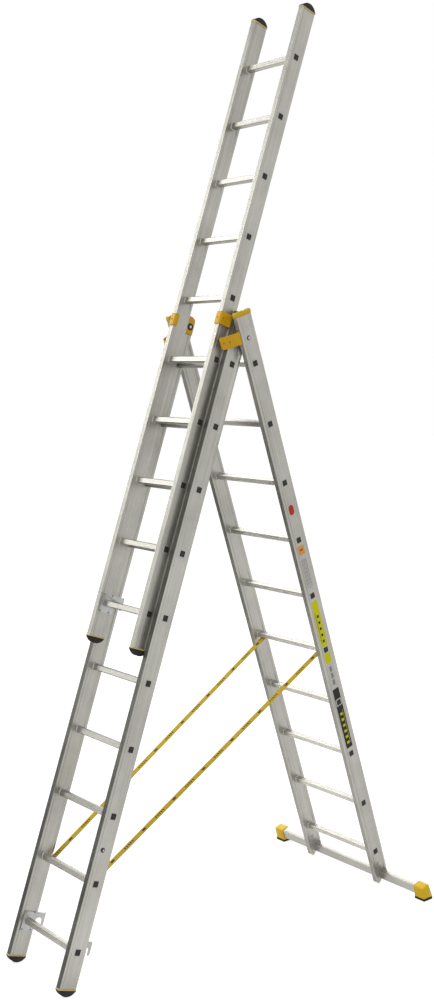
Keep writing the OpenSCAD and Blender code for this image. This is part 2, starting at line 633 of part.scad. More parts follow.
rear_stile_left();
rear_stile_right();
rear_rungs();
rear_rung_plugs();
rear_stile_caps();
rear_bracket_left();
rear_bracket_right();
rear_bracket_bolts();
rear_bracket_rivets();
hinge_pins();
stabiliser_beam();
beam_caps();
beam_soles();
beam_bolts();
stile_labels();
middle_stile_left();
middle_stile_right();
middle_rungs();
middle_rung_plugs();
middle_foot_bands();
middle_feet();
middle_stile_caps();
hinge_ears();
hinge_ear_rivets();
guide_bracket_left();
guide_bracket_right();
guide_bracket_washers();
guide_bracket_bolts();
guide_bracket_rivets();
middle_hook_left();
middle_hook_right();
middle_hook_rivets();
middle_side_screws();
top_stile_left();
top_stile_right();
top_rungs();
top_rung_plugs();
top_end_bands();
top_end_caps();
top_hook_left();
top_hook_right();
top_hook_rivets();
strap_left();
strap_right();
strap_screws_front();
strap_screws_rear();
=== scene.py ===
# %% [markdown]
# This notebook gives a three-section aluminium ladder its finished surfaces. The frame
# below is the exact model: it says where every piece sits and which body it moves with.
# A visual model could be drawn freely and fitted by eye, but here every length comes
# from the frame or from the maker's dimensions, so nothing has to be fitted.

# %% Load the frame
import json
import bpy
import numpy as np
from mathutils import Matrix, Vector


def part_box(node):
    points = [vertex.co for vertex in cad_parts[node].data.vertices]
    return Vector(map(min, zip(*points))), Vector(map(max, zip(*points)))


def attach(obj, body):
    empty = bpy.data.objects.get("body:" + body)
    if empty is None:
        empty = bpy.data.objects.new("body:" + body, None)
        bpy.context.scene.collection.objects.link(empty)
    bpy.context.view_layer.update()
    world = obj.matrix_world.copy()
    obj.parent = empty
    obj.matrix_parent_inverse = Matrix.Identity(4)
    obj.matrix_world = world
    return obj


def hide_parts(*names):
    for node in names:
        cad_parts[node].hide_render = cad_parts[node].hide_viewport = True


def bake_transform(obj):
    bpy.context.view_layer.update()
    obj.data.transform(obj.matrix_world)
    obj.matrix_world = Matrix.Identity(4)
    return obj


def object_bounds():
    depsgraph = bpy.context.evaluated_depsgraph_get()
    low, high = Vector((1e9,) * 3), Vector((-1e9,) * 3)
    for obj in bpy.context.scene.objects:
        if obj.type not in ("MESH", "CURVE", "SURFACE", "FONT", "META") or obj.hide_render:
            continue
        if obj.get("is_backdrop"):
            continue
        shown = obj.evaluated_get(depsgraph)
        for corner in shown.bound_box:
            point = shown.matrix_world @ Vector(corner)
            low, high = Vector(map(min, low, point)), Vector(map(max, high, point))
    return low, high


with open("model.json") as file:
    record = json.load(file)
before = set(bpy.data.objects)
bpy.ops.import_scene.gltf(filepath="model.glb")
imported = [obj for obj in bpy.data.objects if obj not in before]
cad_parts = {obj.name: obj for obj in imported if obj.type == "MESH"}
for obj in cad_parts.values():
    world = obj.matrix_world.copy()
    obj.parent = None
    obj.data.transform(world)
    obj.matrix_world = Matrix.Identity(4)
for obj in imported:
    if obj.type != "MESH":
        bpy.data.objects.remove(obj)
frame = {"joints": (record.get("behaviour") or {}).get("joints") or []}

cad_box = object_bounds()
print("frame box, metres:", [list(corner) for corner in cad_box])

# %% [markdown]
# A ladder section is flat and leans. It is easiest to draw in its own upright frame:
# x across the ladder, y from front to back, z up along the stiles, in millimetres, with
# the origin on the axis of its top rung. The lean could be typed in as 19 degrees, but
# the slide joint already points along the stiles, so its axis gives the same angle.

# %% Places of the three sections
slide_axis = next(j for j in frame["joints"] if j["name"] == "top_slide")["axis"]
LEAN = np.arctan2(slide_axis[1], slide_axis[2])
PITCH = 280.0
RUNGS = 10
SECTIONS = {"rear": +1, "middle": -1, "top": -1}
BODY = {name: name + "_section" for name in SECTIONS}


def turn_x(angle):
    """The matrix of a turn about X: y goes to y cos - z sin, z goes to y sin + z cos."""
    c, s = np.cos(angle), np.sin(angle)
    return np.array([[1, 0, 0], [0, c, -s], [0, s, c]])


def top_rung_axis(section):
    """The centre of the box of all rungs, then half of the rungs' span up the section."""
    low, high = (np.array(corner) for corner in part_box(section + "_rungs"))
    up = turn_x(SECTIONS[section] * LEAN) @ [0, 0, 1]
    return (low + high) / 2 * 1000 + up * PITCH * (RUNGS - 1) / 2


ORIGIN = {name: top_rung_axis(name) for name in SECTIONS}
SIDES = {"right": 1, "left": -1}
WIDTH = {name: 2000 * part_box(name + "_stile_right")[1][0] for name in SECTIONS}


def placed(section, points):
    """Section millimetres to frame metres: turned by the lean, moved, divided by 1000."""
    if section is None:
        return np.asarray(points, float) / 1000
    turned = np.asarray(points, float) @ turn_x(SECTIONS[section] * LEAN).T
    return (turned + ORIGIN[section]) / 1000


print("lean", round(float(np.degrees(LEAN)), 2), "degrees, widths", WIDTH)

# %% [markdown]
# The camera stands a little above the middle of the ladder, off its right front corner.
# Looking straight at the centre would bend the uprights, so the lens is shifted instead,
# the way an architect's camera keeps walls upright. Sensor and lens together set the
# angle of view; the sensor fit is vertical because the picture is tall.

# %% Camera
camera_data = bpy.data.cameras.new("camera")
camera_data.sensor_fit = "VERTICAL"
camera_data.sensor_height = 36
camera_data.lens = 45.33
camera_data.shift_x = 0.0495
camera_data.shift_y = -0.0141
camera = bpy.data.objects.new("camera", camera_data)
camera.location = (4.273, -3.649, 2.572)
camera.rotation_euler = (np.radians(84.31), 0, np.radians(51.49))
bpy.context.scene.collection.objects.link(camera)
bpy.context.scene.camera = camera
print("camera at", tuple(round(c, 2) for c in camera.location))

# %% [markdown]
# Every piece below is a shape: one array of points and a few arrays of faces that name
# those points. Blender could build them click by click with its modelling tools; arrays
# say the same thing in formulas and can be repeated, mirrored and measured.

# %% From arrays to a mesh
def make(name, shape, section, crease=32, uv=None):
    """Puts a shape, in section millimetres, into a new mesh object at the origin. Edges
    sharper than the crease angle stay sharp, all others are shaded smooth."""
    points, faces = shape
    mesh = bpy.data.meshes.new(name)
    corners = np.concatenate([f.ravel() for f in faces]).astype(np.int32)
    sizes = np.concatenate([np.full(len(f), f.shape[1]) for f in faces])
    mesh.vertices.add(len(points))
    mesh.vertices.foreach_set("co", placed(section, points).astype(np.float32).ravel())
    mesh.loops.add(len(corners))
    mesh.loops.foreach_set("vertex_index", corners)
    mesh.polygons.add(len(sizes))
    starts = np.concatenate([[0], np.cumsum(sizes)[:-1]]).astype(np.int32)
    mesh.polygons.foreach_set("loop_start", starts)
    mesh.update(calc_edges=True)
    if uv is not None:
        mesh.uv_layers.new(name="UVMap").data.foreach_set("uv", uv.astype(np.float32).ravel())
    mesh.shade_smooth()
    mesh.set_sharp_from_angle(angle=np.radians(crease))
    piece = bpy.data.objects.new(name, mesh)
    bpy.context.scene.collection.objects.link(piece)
    return piece


def dress(piece, section, slot, material, *nodes):
    """Finish, body and frame nodes of a piece: what it is made of, what it stands for."""
    piece.data.materials.append(material)
    if nodes:
        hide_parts(*nodes)
    if section:
        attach(piece, BODY[section])
    print(f"{piece.name}: {len(piece.data.polygons)} faces")
    return piece


def add(name, shape, section, slot, material, *nodes, crease=40):
    """Makes a piece from a shape and dresses it."""
    return dress(make(name, shape, section, crease), section, slot, material, *nodes)

# %% [markdown]
# A long thing such as webbing, a rubber lip or a bolt is one ring of points repeated
# along its length. The rings form a grid: one direction runs along, the other around.
# The faces of such a grid are always the same, so they are worked out once, here.

# %% Faces of a stack of rings
def rings(loops):
    """Shape from loops of points, an array (rows, around, 3) that runs anti-clockwise seen
    from the end it grows to. Face corners: a point, its neighbour, and both one row on."""
    rows, around = loops.shape[:2]
    index = np.arange(rows * around).reshape(rows, around)
    nxt = np.roll(index, -1, axis=1)
    sides = np.stack([index[:-1], nxt[:-1], nxt[1:], index[1:]], axis=-1).reshape(-1, 4)
    return loops.reshape(-1, 3), [sides, index[0][::-1][None], index[-1][None]]


def joined(*shapes):
    """Several shapes as one: each one's face numbers are raised by the points before it."""
    starts = np.cumsum([0] + [len(p) for p, _ in shapes[:-1]])
    faces = [f + s for (_, fs), s in zip(shapes, starts) for f in fs]
    return np.concatenate([p for p, _ in shapes]), faces


def moved(shape, x=0.0, y=0.0, z=0.0):
    """The shape shifted: x, y and z are added to every point."""
    return shape[0] + [x, y, z], shape[1]


def mirrored(shape, plane=0.0):
    """The mirror image: x becomes 2 plane - x. Mirroring turns faces inside out, so they
    list their corners backwards."""
    return shape[0] * [-1, 1, 1] + [2 * plane, 0, 0], [f[:, ::-1] for f in shape[1]]


def on_side(shape, side):
    """Shapes are drawn for the right side; the left one is the mirror image."""
    return shape if side == "right" else mirrored(shape)


def both_sides(shape):
    """The shape and its mirror image as one."""
    return joined(shape, mirrored(shape))


def copies(shape, spots):
    """The shape once at each (y, z) of the spots, as one."""
    return joined(*[moved(shape, y=y, z=z) for y, z in spots])


def on_every_rung(shape):
    """The shape once for each rung, a pitch apart down the section."""
    return copies(shape, [(0, -k * PITCH) for k in range(RUNGS)])


print("a cube in this form has", sum(len(f) for f in rings(np.zeros((2, 4, 3)))[1]), "faces")

# %% [markdown]
# Two polyester straps stop the legs from sliding apart. Webbing is a flat weave whose
# edges, the selvedges, are turned and a little thicker. It could be a plain box, or a
# curve with a flat bevel; a grid gives it rounded selvedges and a map that runs in real
# metres along and across the band, for the weave and the print.

# %% Webbing section
STRAP_W, STRAP_T, STRAP_FROM_SIDE = 30.0, 1.8, 49.0
STRAP_DOWN = {"middle": 8 * PITCH, "rear": 5 * PITCH}
strap_x = {s: WIDTH[s] / 2 - STRAP_FROM_SIDE for s in STRAP_DOWN}
AROUND = 28


def webbing_ring():
    """Half-width times the cosine, and half-thickness times a sine flattened by a power,
    so that the faces are level and the selvedges round."""
    a = np.linspace(0, 2 * np.pi, AROUND, endpoint=False)
    thick = np.sign(np.sin(a)) * np.abs(np.sin(a)) ** 0.35
    return np.stack([np.cos(a) * STRAP_W / 2, thick * STRAP_T / 2], axis=1)


def web_along(path, across, ring):
    """Carries the ring along a path: each row is the path's point, plus the ring's width
    along the across direction, plus its thickness along across times the path's slope."""
    slope = np.gradient(path, axis=0)
    slope /= np.linalg.norm(slope, axis=1, keepdims=True)
    out = np.cross(slope, across)
    rows = path[:, None] + ring[None, :, :1] * across + ring[None, :, 1:] * out[:, None]
    return rings(rows)


def web_uv(rows, length):
    """Metres along the band, and 0 to 1 round its edge, for each corner of each face."""
    row, j = np.meshgrid(np.arange(rows - 1), np.arange(AROUND), indexing="ij")
    along = np.stack([row, row, row + 1, row + 1], -1) / (rows - 1) * length
    around = np.stack([j, j + 1, j + 1, j], -1) / AROUND
    sides = np.stack([along, around], -1).reshape(-1, 2)
    return np.concatenate([sides, np.zeros((2 * AROUND, 2))])


print("webbing ring:", AROUND, "points, straps", strap_x, "mm from the middle")

# %% [markdown]
# The run is pulled straight between a rung of the front leg and one of the rear leg. It
# crosses the hinge, so it cannot ride on one leg, and it is attached to no body. Each end
# is folded round the lower back bevel of its rung, so the run starts a little off the
# rung's axis, at the fold. The offsets below are the distances from that axis to the
# middle of the webbing on a flat side of the rung, and to the fold beside it.

# %% Strap runs
RUNG, BEVEL, STRAP_FIT, ROWS = 27.0, 3.5, 0.3, 121
STRAP_OFF = RUNG / 2 + STRAP_FIT + STRAP_T / 2
STRAP_TURN = STRAP_OFF - BEVEL - (2 - np.sqrt(2)) * (STRAP_FIT + STRAP_T / 2)
FOLD = {"middle": (STRAP_OFF, -STRAP_TURN), "rear": (STRAP_TURN, -STRAP_OFF)}
RIGHTWARD = np.array([1.0, 0, 0])
runs, run_path, run_way = {}, {}, {}
for side, sign in SIDES.items():
    ends = [placed(s, [[sign * strap_x[s], y, z - STRAP_DOWN[s]]])[0] * 1000
            for s, (y, z) in FOLD.items()]
    way = (ends[1] - ends[0]) / np.linalg.norm(ends[1] - ends[0])
    t = np.linspace(0, 1, ROWS)[:, None]
    path = (ends[0] + way * STRAP_FIT) * (1 - t) + (ends[1] - way * STRAP_FIT) * t
    length = np.linalg.norm(path[-1] - path[0])
    flat = np.cross(way, np.cross(RIGHTWARD, way))
    shape = web_along(path, flat / np.linalg.norm(flat), webbing_ring())
    runs[side] = make("strap_run_" + side, shape, None, uv=web_uv(ROWS, length / 1000))
    run_path[side], run_way[side] = path / 1000, way
    print(side, "strap run:", round(float(length)), "mm")

# %% [markdown]
# The ends are the same webbing: a flap held flat on the rung by one screw, below the
# front rung and behind the rear one, and a hem a thumb long that is sewn back on the run.
# They are separate pieces, since they stay with one leg. A bent band is a bent line, so
# its corners are rounded first, with a curve that later makes every soft corner.

# %% Folded ends and hems
def rounded(corners, radius, steps=4):
    """Each corner becomes a quadratic curve from the point a radius before it to the
    point a radius after it: (1-t)^2 start + 2t(1-t) corner + t^2 stop."""
    p = np.asarray(corners, float)
    r = np.broadcast_to(np.asarray(radius, float), len(p))[:, None]
    back, ahead = np.roll(p, 1, axis=0) - p, np.roll(p, -1, axis=0) - p
    start = p + back / np.linalg.norm(back, axis=1, keepdims=True) * r
    stop = p + ahead / np.linalg.norm(ahead, axis=1, keepdims=True) * r
    t = np.linspace(0, 1, steps + 1)[None, :, None]
    start, corner, stop = start[:, None], p[:, None], stop[:, None]
    curve = (1 - t) ** 2 * start + 2 * t * (1 - t) * corner + t ** 2 * stop
    curve = curve.reshape(-1, 2)
    apart = np.linalg.norm(curve - np.roll(curve, 1, axis=0), axis=1) > 1e-6
    return curve[apart]


FLAP, HEM, FOLD_LONG = 9.0, (2.0, 58.0), 24.0
folds = {"middle": ([-FLAP, -STRAP_OFF], "rear", 0, 1),
         "rear": ([STRAP_OFF, FLAP], "middle", -1, -1)}
strap_ends = {}
for section, (flap_end, corner_like, run_end, inward) in folds.items():
    line = rounded([flap_end, FOLD[corner_like], FOLD[section]], [0, 1.2, 0], 6)
    line = np.concatenate([np.linspace(line[0], line[1], 8)[:-1], line[1:]])
    fold = web_along(np.column_stack([0 * line[:, 0], line]), RIGHTWARD, webbing_ring())
    for side, sign in SIDES.items():
        end = moved(fold, x=sign * strap_x[section], z=-STRAP_DOWN[section])
        strap_ends[section, side] = make(f"strap_end_{section}_{side}", end, section,
                                         uv=web_uv(len(line), FOLD_LONG / 1000))
        # the hem lies under the run at both legs
        way = run_way[side]
        t = inward * np.linspace(*HEM, 25)[:, None]
        under = np.cross(way, RIGHTWARD) * (STRAP_T + 0.1)
        hem = run_path[side][run_end] * 1000 + way * t + under
        hem = web_along(hem, RIGHTWARD, webbing_ring() * [0.94, 1])
        strap_ends[section, side, "hem"] = make(
            f"strap_hem_{section}_{side}", hem, None,
            uv=web_uv(len(t), (HEM[1] - HEM[0]) / 1000))
print(len(strap_ends), "ends and hems")

# %% [markdown]
# A material is a tree of nodes that pass numbers, colours and patterns on to each other.
# It could be linked by hand in the shader editor. A few helpers that add a node and link
# it keep the trees short here, and let one recipe serve many finishes.

# %% Helpers for shader nodes
def node(tree, kind, links=(), **settings):
    """Adds a shader node; links are (input, source socket) pairs, the rest are values."""
    new = tree.nodes.new("ShaderNode" + kind)
    for key, value in settings.items():
        if hasattr(new, key):
            setattr(new, key, value)
        else:
            new.inputs[key.replace("_", " ")].default_value = value
    for socket, source in links:
        tree.links.new(source, new.inputs[socket])
    return new


def maths(tree, operation, *terms):
    """The output of a Math node whose terms are sockets or plain numbers."""
    new = node(tree, "Math", operation=operation)
    for slot, term in enumerate(terms):
        if isinstance(term, (int, float)):
            new.inputs[slot].default_value = term
        else:
            tree.links.new(term, new.inputs[slot])
    return new.outputs[0]


def blank(name, **values):
    """A new material, its node tree, and its shader with the values given."""
    material = bpy.data.materials.new(name)
    material.use_nodes = True
    shader = material.node_tree.nodes["Principled BSDF"]
    for key, value in values.items():
        shader.inputs[key.replace("_", " ")].default_value = value
    return material, material.node_tree, shader


def seen_directly(tree):
    """1 for the rays that make background: camera, glossy or transmission rays."""
    ray = node(tree, "LightPath").outputs
    mirror = maths(tree, "MAXIMUM", ray["Is Camera Ray"], ray["Is Glossy Ray"])
    return maths(tree, "MAXIMUM", mirror, ray["Is Transmission Ray"])


print("shader helpers:", ", ".join(f.__name__ for f in (node, maths, blank, seen_directly)))

# %% [markdown]
# Soft light shows a ladder's form best: large lamps and a bright room. The key lamp
# stands high on the left, a low panel below it puts the sheen on the rungs, the rim lamp
# lights their tops from behind, and a weak fill stands beside the camera. The background
# is white only for the eye and for mirror images: the Light Path node tells those rays
# apart from the ones that carry daylight on to the surfaces, so the metal is lit plainly
# and still has a white room to reflect.

# %% Room and lamps
world = bpy.data.worlds.new("studio")
bpy.context.scene.world = world
world.use_nodes = True
sky = world.node_tree.nodes["Background"]
sky.inputs["Color"].default_value = (1, 1, 1, 1)
strength = node(world.node_tree, "MapRange", [("Value", seen_directly(world.node_tree))],
                To_Min=0.55, To_Max=1.0)
world.node_tree.links.new(strength.outputs[0], sky.inputs["Strength"])


def lamp(name, place, aim, size, power):
    """A square area lamp at place, turned so that it shines towards aim."""
    data = bpy.data.lights.new(name, "AREA")
    data.energy, data.size = power, size
    lit = bpy.data.objects.new(name, data)
    lit.location = place
    way = Vector(aim) - Vector(place)
    lit.rotation_euler = way.to_track_quat("-Z", "Y").to_euler()
    bpy.context.scene.collection.objects.link(lit)


lamp("key", (-4.8, -3.2, 5.8), (0, 0, 2.6), 3.4, 135)
lamp("fill", (6.0, -3.0, 4.0), (0, 0, 1.8), 3.0, 60)
lamp("rim", (-4.6, 4.4, 4.4), (0, 0, 2.2), 3.0, 150)
lamp("panel", (-4.4, -3.7, 2.9), (0, -0.3, 1.9), 2.8, 38)
bpy.context.scene.view_settings.view_transform = "Standard"
print(len(bpy.data.lights), "lamps in a white room")

# %% [markdown]
# The floor is one wide sheet of matt grey paper, so that it takes a soft shadow. A white
# paper would throw light up at the ladder; here the same Light Path trick adds the
# white, and only for the eye and for mirror images.

# %% Floor
paper, tree, matt = blank("paper", Base_Color=(0.42, 0.42, 0.42, 1), Roughness=0.95,
                          Emission_Color=(1, 1, 1, 1))
glow = node(tree, "MapRange", [("Value", seen_directly(tree))], To_Min=0.0, To_Max=0.80)
tree.links.new(glow.outputs[0], matt.inputs["Emission Strength"])


def flat_sheet(name, material, corners):
    """A staged sheet between four corners, in metres."""
    sheet = make(name, (np.array(corners) * 1000, [np.array([[0, 1, 2, 3]])]), None)
    sheet.data.materials.append(material)
    sheet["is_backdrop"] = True
    return sheet


FLOOR = 30.0
flat_sheet("floor", paper, [(-FLOOR, -FLOOR, 0), (FLOOR, -FLOOR, 0), (FLOOR, FLOOR, 0),
                            (-FLOOR, FLOOR, 0)])
print("floor:", 2 * FLOOR, "metres wide")

# %% [markdown]
# Bare metal has hardly any colour of its own: it shows its surroundings. In an all-white
# room every face would look the same, so a studio has dark flags that stand where the
# metal can see them and the camera cannot. Here one sheet stands and one lies. Only
# mirror rays meet them, and they throw no shadow.

# %% Dark flags
cloth = blank("black_cloth", Base_Color=(0.03, 0.03, 0.028, 1), Roughness=1.0)[0]
flags = {
    "flag_upright": [(-4.6, -0.6, 0), (-1.8, -4.8, 0), (-1.8, -4.8, 0.6), (-4.6, -0.6, 0.6)],
    "flag_low": [(-1.6, 0.9, 0.01), (-4.6, 0.9, 0.01), (-4.6, -4.8, 0.01), (-0.9, -4.8, 0.01)],
}
for name, corners in flags.items():
    flag = flat_sheet(name, cloth, corners)
    flag.visible_camera = flag.visible_diffuse = flag.visible_shadow = False
    flag.visible_transmission = flag.visible_volume_scatter = False
print(len(flags), "flags in place")

# %% [markdown]
# Drawn metal and moulded plastic look alike in one way: a main tone, slow patches where
# hands and dust have been, and a fine grain. One recipe serves them all. The grain is a
# noise squeezed to the size it has on the real surface; a Mapping node of the Texture
# kind first turns it by the section's lean, so that it runs along the stile.

# %% The recipe for a surface
def two_tones(tree, value, dark, light):
    """A colour that goes from dark, at 0, to light, at 1."""
    ramp = node(tree, "ValToRGB", [("Fac", value)])
    for element, tone in zip(ramp.color_ramp.elements, (dark, light)):
        element.color = (*tone, 1)
    return ramp.outputs["Color"]


def bumped(tree, shader, height, strength, distance):
    """Tilts the light by a pattern of heights, the distance high at full strength."""
    relief = node(tree, "Bump", [("Height", height)], Strength=strength, Distance=distance)
    tree.links.new(relief.outputs[0], shader.inputs["Normal"])


def surface(name, dark, light, rough, grain, metal=0.0, lean=0.0, bump=0.15, patch=0.12,
            coat=0.0, speck=0.0, gloss=0.5):
    """Base colour: dark to light by a mix of grain and slow patches. Roughness: the low
    to the high value by the same grain. Bump: the grain's height. Grain and patch are
    sizes in metres; a grain may have one for each direction."""
    material, tree, shader = blank(name, Metallic=metal, Coat_Weight=coat,
                                   Specular_IOR_Level=gloss)
    place = node(tree, "TexCoord").outputs["Object"]
    lie = node(tree, "Mapping", [("Vector", place)], vector_type="TEXTURE",
               Rotation=(lean, 0, 0), Scale=tuple(np.broadcast_to(grain, 3)))
    fine = node(tree, "TexNoise", [("Vector", lie.outputs[0])], Scale=1.0, Detail=3.0)
    slow = node(tree, "TexNoise", [("Vector", place)], Scale=1 / patch, Detail=4.0,
                Roughness=0.6)
    both = maths(tree, "ADD", fine.outputs["Fac"], slow.outputs["Fac"])
    spread = dict(From_Min=0.72, From_Max=1.28)
    mix = node(tree, "MapRange", [("Value", both)], **spread)
    colour = two_tones(tree, mix.outputs[0], dark, light)
    if speck:
        dots = node(tree, "TexNoise", [("Vector", place)], Scale=90.0, Detail=6.0)
        cut = node(tree, "MapRange", [("Value", dots.outputs["Fac"])],
                   From_Min=0.62, From_Max=0.7, To_Max=speck)
        stain = node(tree, "MixRGB", [("Fac", cut.outputs[0]), ("Color1", colour)],
                     blend_type="MULTIPLY", Color2=(0.45, 0.43, 0.4, 1))
        colour = stain.outputs[0]
    tree.links.new(colour, shader.inputs["Base Color"])
    worn = node(tree, "MapRange", [("Value", both)], **spread, To_Min=rough[0],
                To_Max=rough[1])
    tree.links.new(worn.outputs[0], shader.inputs["Roughness"])
    bumped(tree, shader, fine.outputs["Fac"], bump, 0.0004)
    return material

# %% [markdown]
# Stiles and rungs are drawn aluminium, left bare. The die leaves streaks as thin as a
# hair and as long as a hand, and handling dulls it in soft patches. It is metal, but the
# drawn skin scatters light widely, so the roughness is high for a metal. The narrow faces
# of the leg that stands in front get a much darker metal: painted shade for their grooves.

# %% Aluminium
BRIGHT = dict(dark=(0.33, 0.32, 0.287), light=(0.51, 0.50, 0.455), rough=(0.26, 0.42),
              metal=0.9, patch=0.3)
STREAK = (0.0016, 0.0016, 0.35)
alu = {s: surface("aluminium_" + s, grain=STREAK, lean=SECTIONS[s] * LEAN, **BRIGHT)
       for s in SECTIONS}
alu_across = surface("aluminium_across", grain=STREAK[::-1], **BRIGHT)
# painted shade: a much darker aluminium for the narrow faces of the middle stiles
alu_painted_shade = surface("aluminium_painted_shade", (0.12, 0.118, 0.105), (0.21, 0.206, 0.186), (0.35, 0.5),
                   STREAK, metal=0.85, lean=-LEAN)
alu_cut = surface("aluminium_cut", (0.36, 0.355, 0.33), (0.52, 0.51, 0.475), (0.35, 0.5),
                  0.002, metal=0.85)
print(len(alu) + 3, "kinds of aluminium")

# %% [markdown]
# The caps are moulded polyamide in a warm yellow, with a fine spark-eroded grain; the
# brackets are steel with a thick amber powder coat, which flows a little before it sets
# and leaves an orange-peel skin. Zinc on the bolts and hooks crystallises in small
# patches. Rubber is nearly black and dusty.

# %% Plastic, powder coat, zinc and rubber
yellow = surface("yellow_plastic", (0.66, 0.42, 0.012), (0.78, 0.52, 0.02), (0.36, 0.5),
                 0.0009, bump=0.25, speck=0.25, gloss=0.3)
bright_yellow = surface("bright_yellow_plastic", (0.86, 0.54, 0.006), (0.96, 0.64, 0.009),
                        (0.34, 0.48), 0.0009, bump=0.25, speck=0.3, gloss=0.3)
amber = surface("amber_powder_coat", (0.71, 0.38, 0.004), (0.87, 0.50, 0.006), (0.34, 0.48),
                0.004, bump=0.2, coat=0.05, speck=0.2, gloss=0.3)
gold = surface("gold_band", (0.72, 0.54, 0.16), (0.84, 0.66, 0.24), (0.3, 0.45),
               0.002, bump=0.1)
zinc = surface("zinc_plate", (0.36, 0.37, 0.37), (0.55, 0.55, 0.54), (0.25, 0.42),
               0.006, metal=0.85, bump=0.1)
dark_steel = surface("dark_rivet", (0.16, 0.155, 0.15), (0.28, 0.27, 0.26), (0.35, 0.55),
                     0.002, metal=0.7)
# near black: the mandrels' ends, painted shade for the rivets' hollow centres
mandrel_hole_shade_black = surface("mandrel_end_painted_hole_shade", (0.012, 0.012, 0.013), (0.035, 0.034, 0.033),
                      (0.4, 0.6), 0.002)
rubber = surface("black_rubber", (0.010, 0.010, 0.010), (0.030, 0.029, 0.027), (0.55, 0.8),
                 0.0012, bump=0.35, speck=0.2, gloss=0.3)
plug_black = surface("black_plug", (0.016, 0.015, 0.013), (0.038, 0.036, 0.031),
                     (0.35, 0.55), 0.001, bump=0.2, gloss=0.3)
print("plastic, coat, zinc and rubber are ready")

# %% [markdown]
# The webbing is woven from amber yarn. Its map runs in metres along the band and from 0
# to 1 round it, so the weave is two waves on that map: ribs across the band, and a twill
# that shifts from rib to rib. A row of plain printed marks repeats down the middle.

# %% Webbing
RIB, RIBS_ROUND, PRINT_REPEAT = 0.0022, 22, 0.19
PRINT_MARKS = [(0.05, 0.08), (0.11, 0.14), (0.17, 0.20), (0.23, 0.26), (0.29, 0.32),
               (0.62, 0.72)]


def webbing():
    """Colour: yarn tones by the twill, marks where a repeat of the length falls in dark
    windows and the place round the band is near the middle. Bump: the twill."""
    material, tree, shader = blank("webbing", Roughness=0.78, Specular_IOR_Level=0.15,
                                   Sheen_Weight=0.1)
    chart = node(tree, "SeparateXYZ", [("Vector", node(tree, "TexCoord").outputs["UV"])])
    along, around = chart.outputs["X"], chart.outputs["Y"]
    ribs = maths(tree, "MULTIPLY", along, 2 * np.pi / RIB)
    turns = maths(tree, "MULTIPLY", around, 2 * np.pi * RIBS_ROUND)
    twill = maths(tree, "SINE", maths(tree, "ADD", ribs, turns))
    tone = node(tree, "MapRange", [("Value", twill)], From_Min=-1.0, From_Max=1.0)
    yarn = two_tones(tree, tone.outputs[0], (0.52, 0.34, 0.015), (0.80, 0.58, 0.04))
    part = maths(tree, "FRACT", maths(tree, "MULTIPLY", along, 1 / PRINT_REPEAT))
    marks = node(tree, "ValToRGB", [("Fac", part)])
    marks.color_ramp.interpolation = "CONSTANT"
    marks.color_ramp.elements[1].position = 0.0
    for start, stop in PRINT_MARKS:
        marks.color_ramp.elements.new(start).color = (1, 1, 1, 1)
        marks.color_ramp.elements.new(stop).color = (0, 0, 0, 1)
    for element in list(marks.color_ramp.elements)[:2]:
        element.color = (0, 0, 0, 1)
    # the face of the band is where the way round it is near one or three quarters
    half_round = maths(tree, "FRACT", maths(tree, "MULTIPLY", around, 2))
    middle = maths(tree, "COMPARE", half_round, 0.5, 0.13)
    print_on = maths(tree, "MULTIPLY", marks.outputs["Color"], middle)
    ink = node(tree, "MixRGB", [("Fac", print_on), ("Color1", yarn)],
               Color2=(0.07, 0.04, 0.02, 1))
    tree.links.new(ink.outputs[0], shader.inputs["Base Color"])
    bumped(tree, shader, twill, 0.5, 0.0003)
    return material


weave = webbing()
for side in runs:
    run, path = runs[side], run_path[side]
    dress(run, None, "webbing", weave, "strap_" + side)
    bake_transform(run)
for key, piece in strap_ends.items():
    dress(piece, key[0], "webbing", weave)

# %% [markdown]
# Most parts of a ladder are cut from one outline: a stile, a rung, a cap or a hook plate
# is a flat figure pulled out to a length. Real edges are never razor sharp, so the
# outline's corners are rounded, and the rims at both ends are drawn in a little.

# %% Outlines, and pulling them out
def inset(outline, distance):
    """Every point moves inwards so that all sides shift by the distance: the sum of the
    two side normals over one plus their dot product."""
    step = np.roll(outline, -1, axis=0) - outline
    normal = np.stack([-step[:, 1], step[:, 0]], 1) / np.linalg.norm(step, axis=1)[:, None]
    before = np.roll(normal, 1, axis=0)
    share = 1 + np.sum(before * normal, axis=1, keepdims=True)
    return outline + (before + normal) * distance / np.maximum(share, 0.25)


def level(outline, height):
    """A flat outline becomes a ring of points at one height."""
    return np.column_stack([outline, np.full(len(outline), height)])


def pulled(outline, steps):
    """A closed solid from an anti-clockwise outline: one ring for each (inset, height)."""
    return rings(np.stack([level(inset(outline, d), h) for d, h in steps]))


def pulled_x(outline, steps):
    """The same along x, from an outline in y and z: the coordinates move round by one."""
    points, faces = pulled(outline, steps)
    return points[:, [2, 0, 1]], faces


def rim(low, high, r=0.6):
    """Steps for a solid with softly broken rims."""
    return [(r, low), (r * 0.3, low + r * 0.3), (0, low + r), (0, high - r),
            (r * 0.3, high - r * 0.3), (r, high)]


def box_outline(x0, x1, y0, y1, radius=1.0, steps=4):
    """A rectangle with rounded corners, anti-clockwise."""
    return rounded([[x0, y0], [x1, y0], [x1, y1], [x0, y1]], radius, steps)


print("rounded square:", len(box_outline(-1, 1, -1, 1, 0.3)), "points")

# %% [markdown]
# A stile is a hollow section pressed through a die: two thick flanges carry the load, and
# the webs between them lie back a little so that labels and rung ends are protected.
# Small ribs beside the flanges guide the neighbouring section. The outline holds all of
# this; a plain box with a bevel would lose the ribs that catch the light.

# %% Stile outline
STILE_T, FLANGE, RECESS, WALL, BORE = 25.0, 14.0, 2.0, 2.0, 120.0
STILES = {"rear": (40.0, 44.0), "middle": (46.0, 40.0), "top": (40.0, 40.0)}


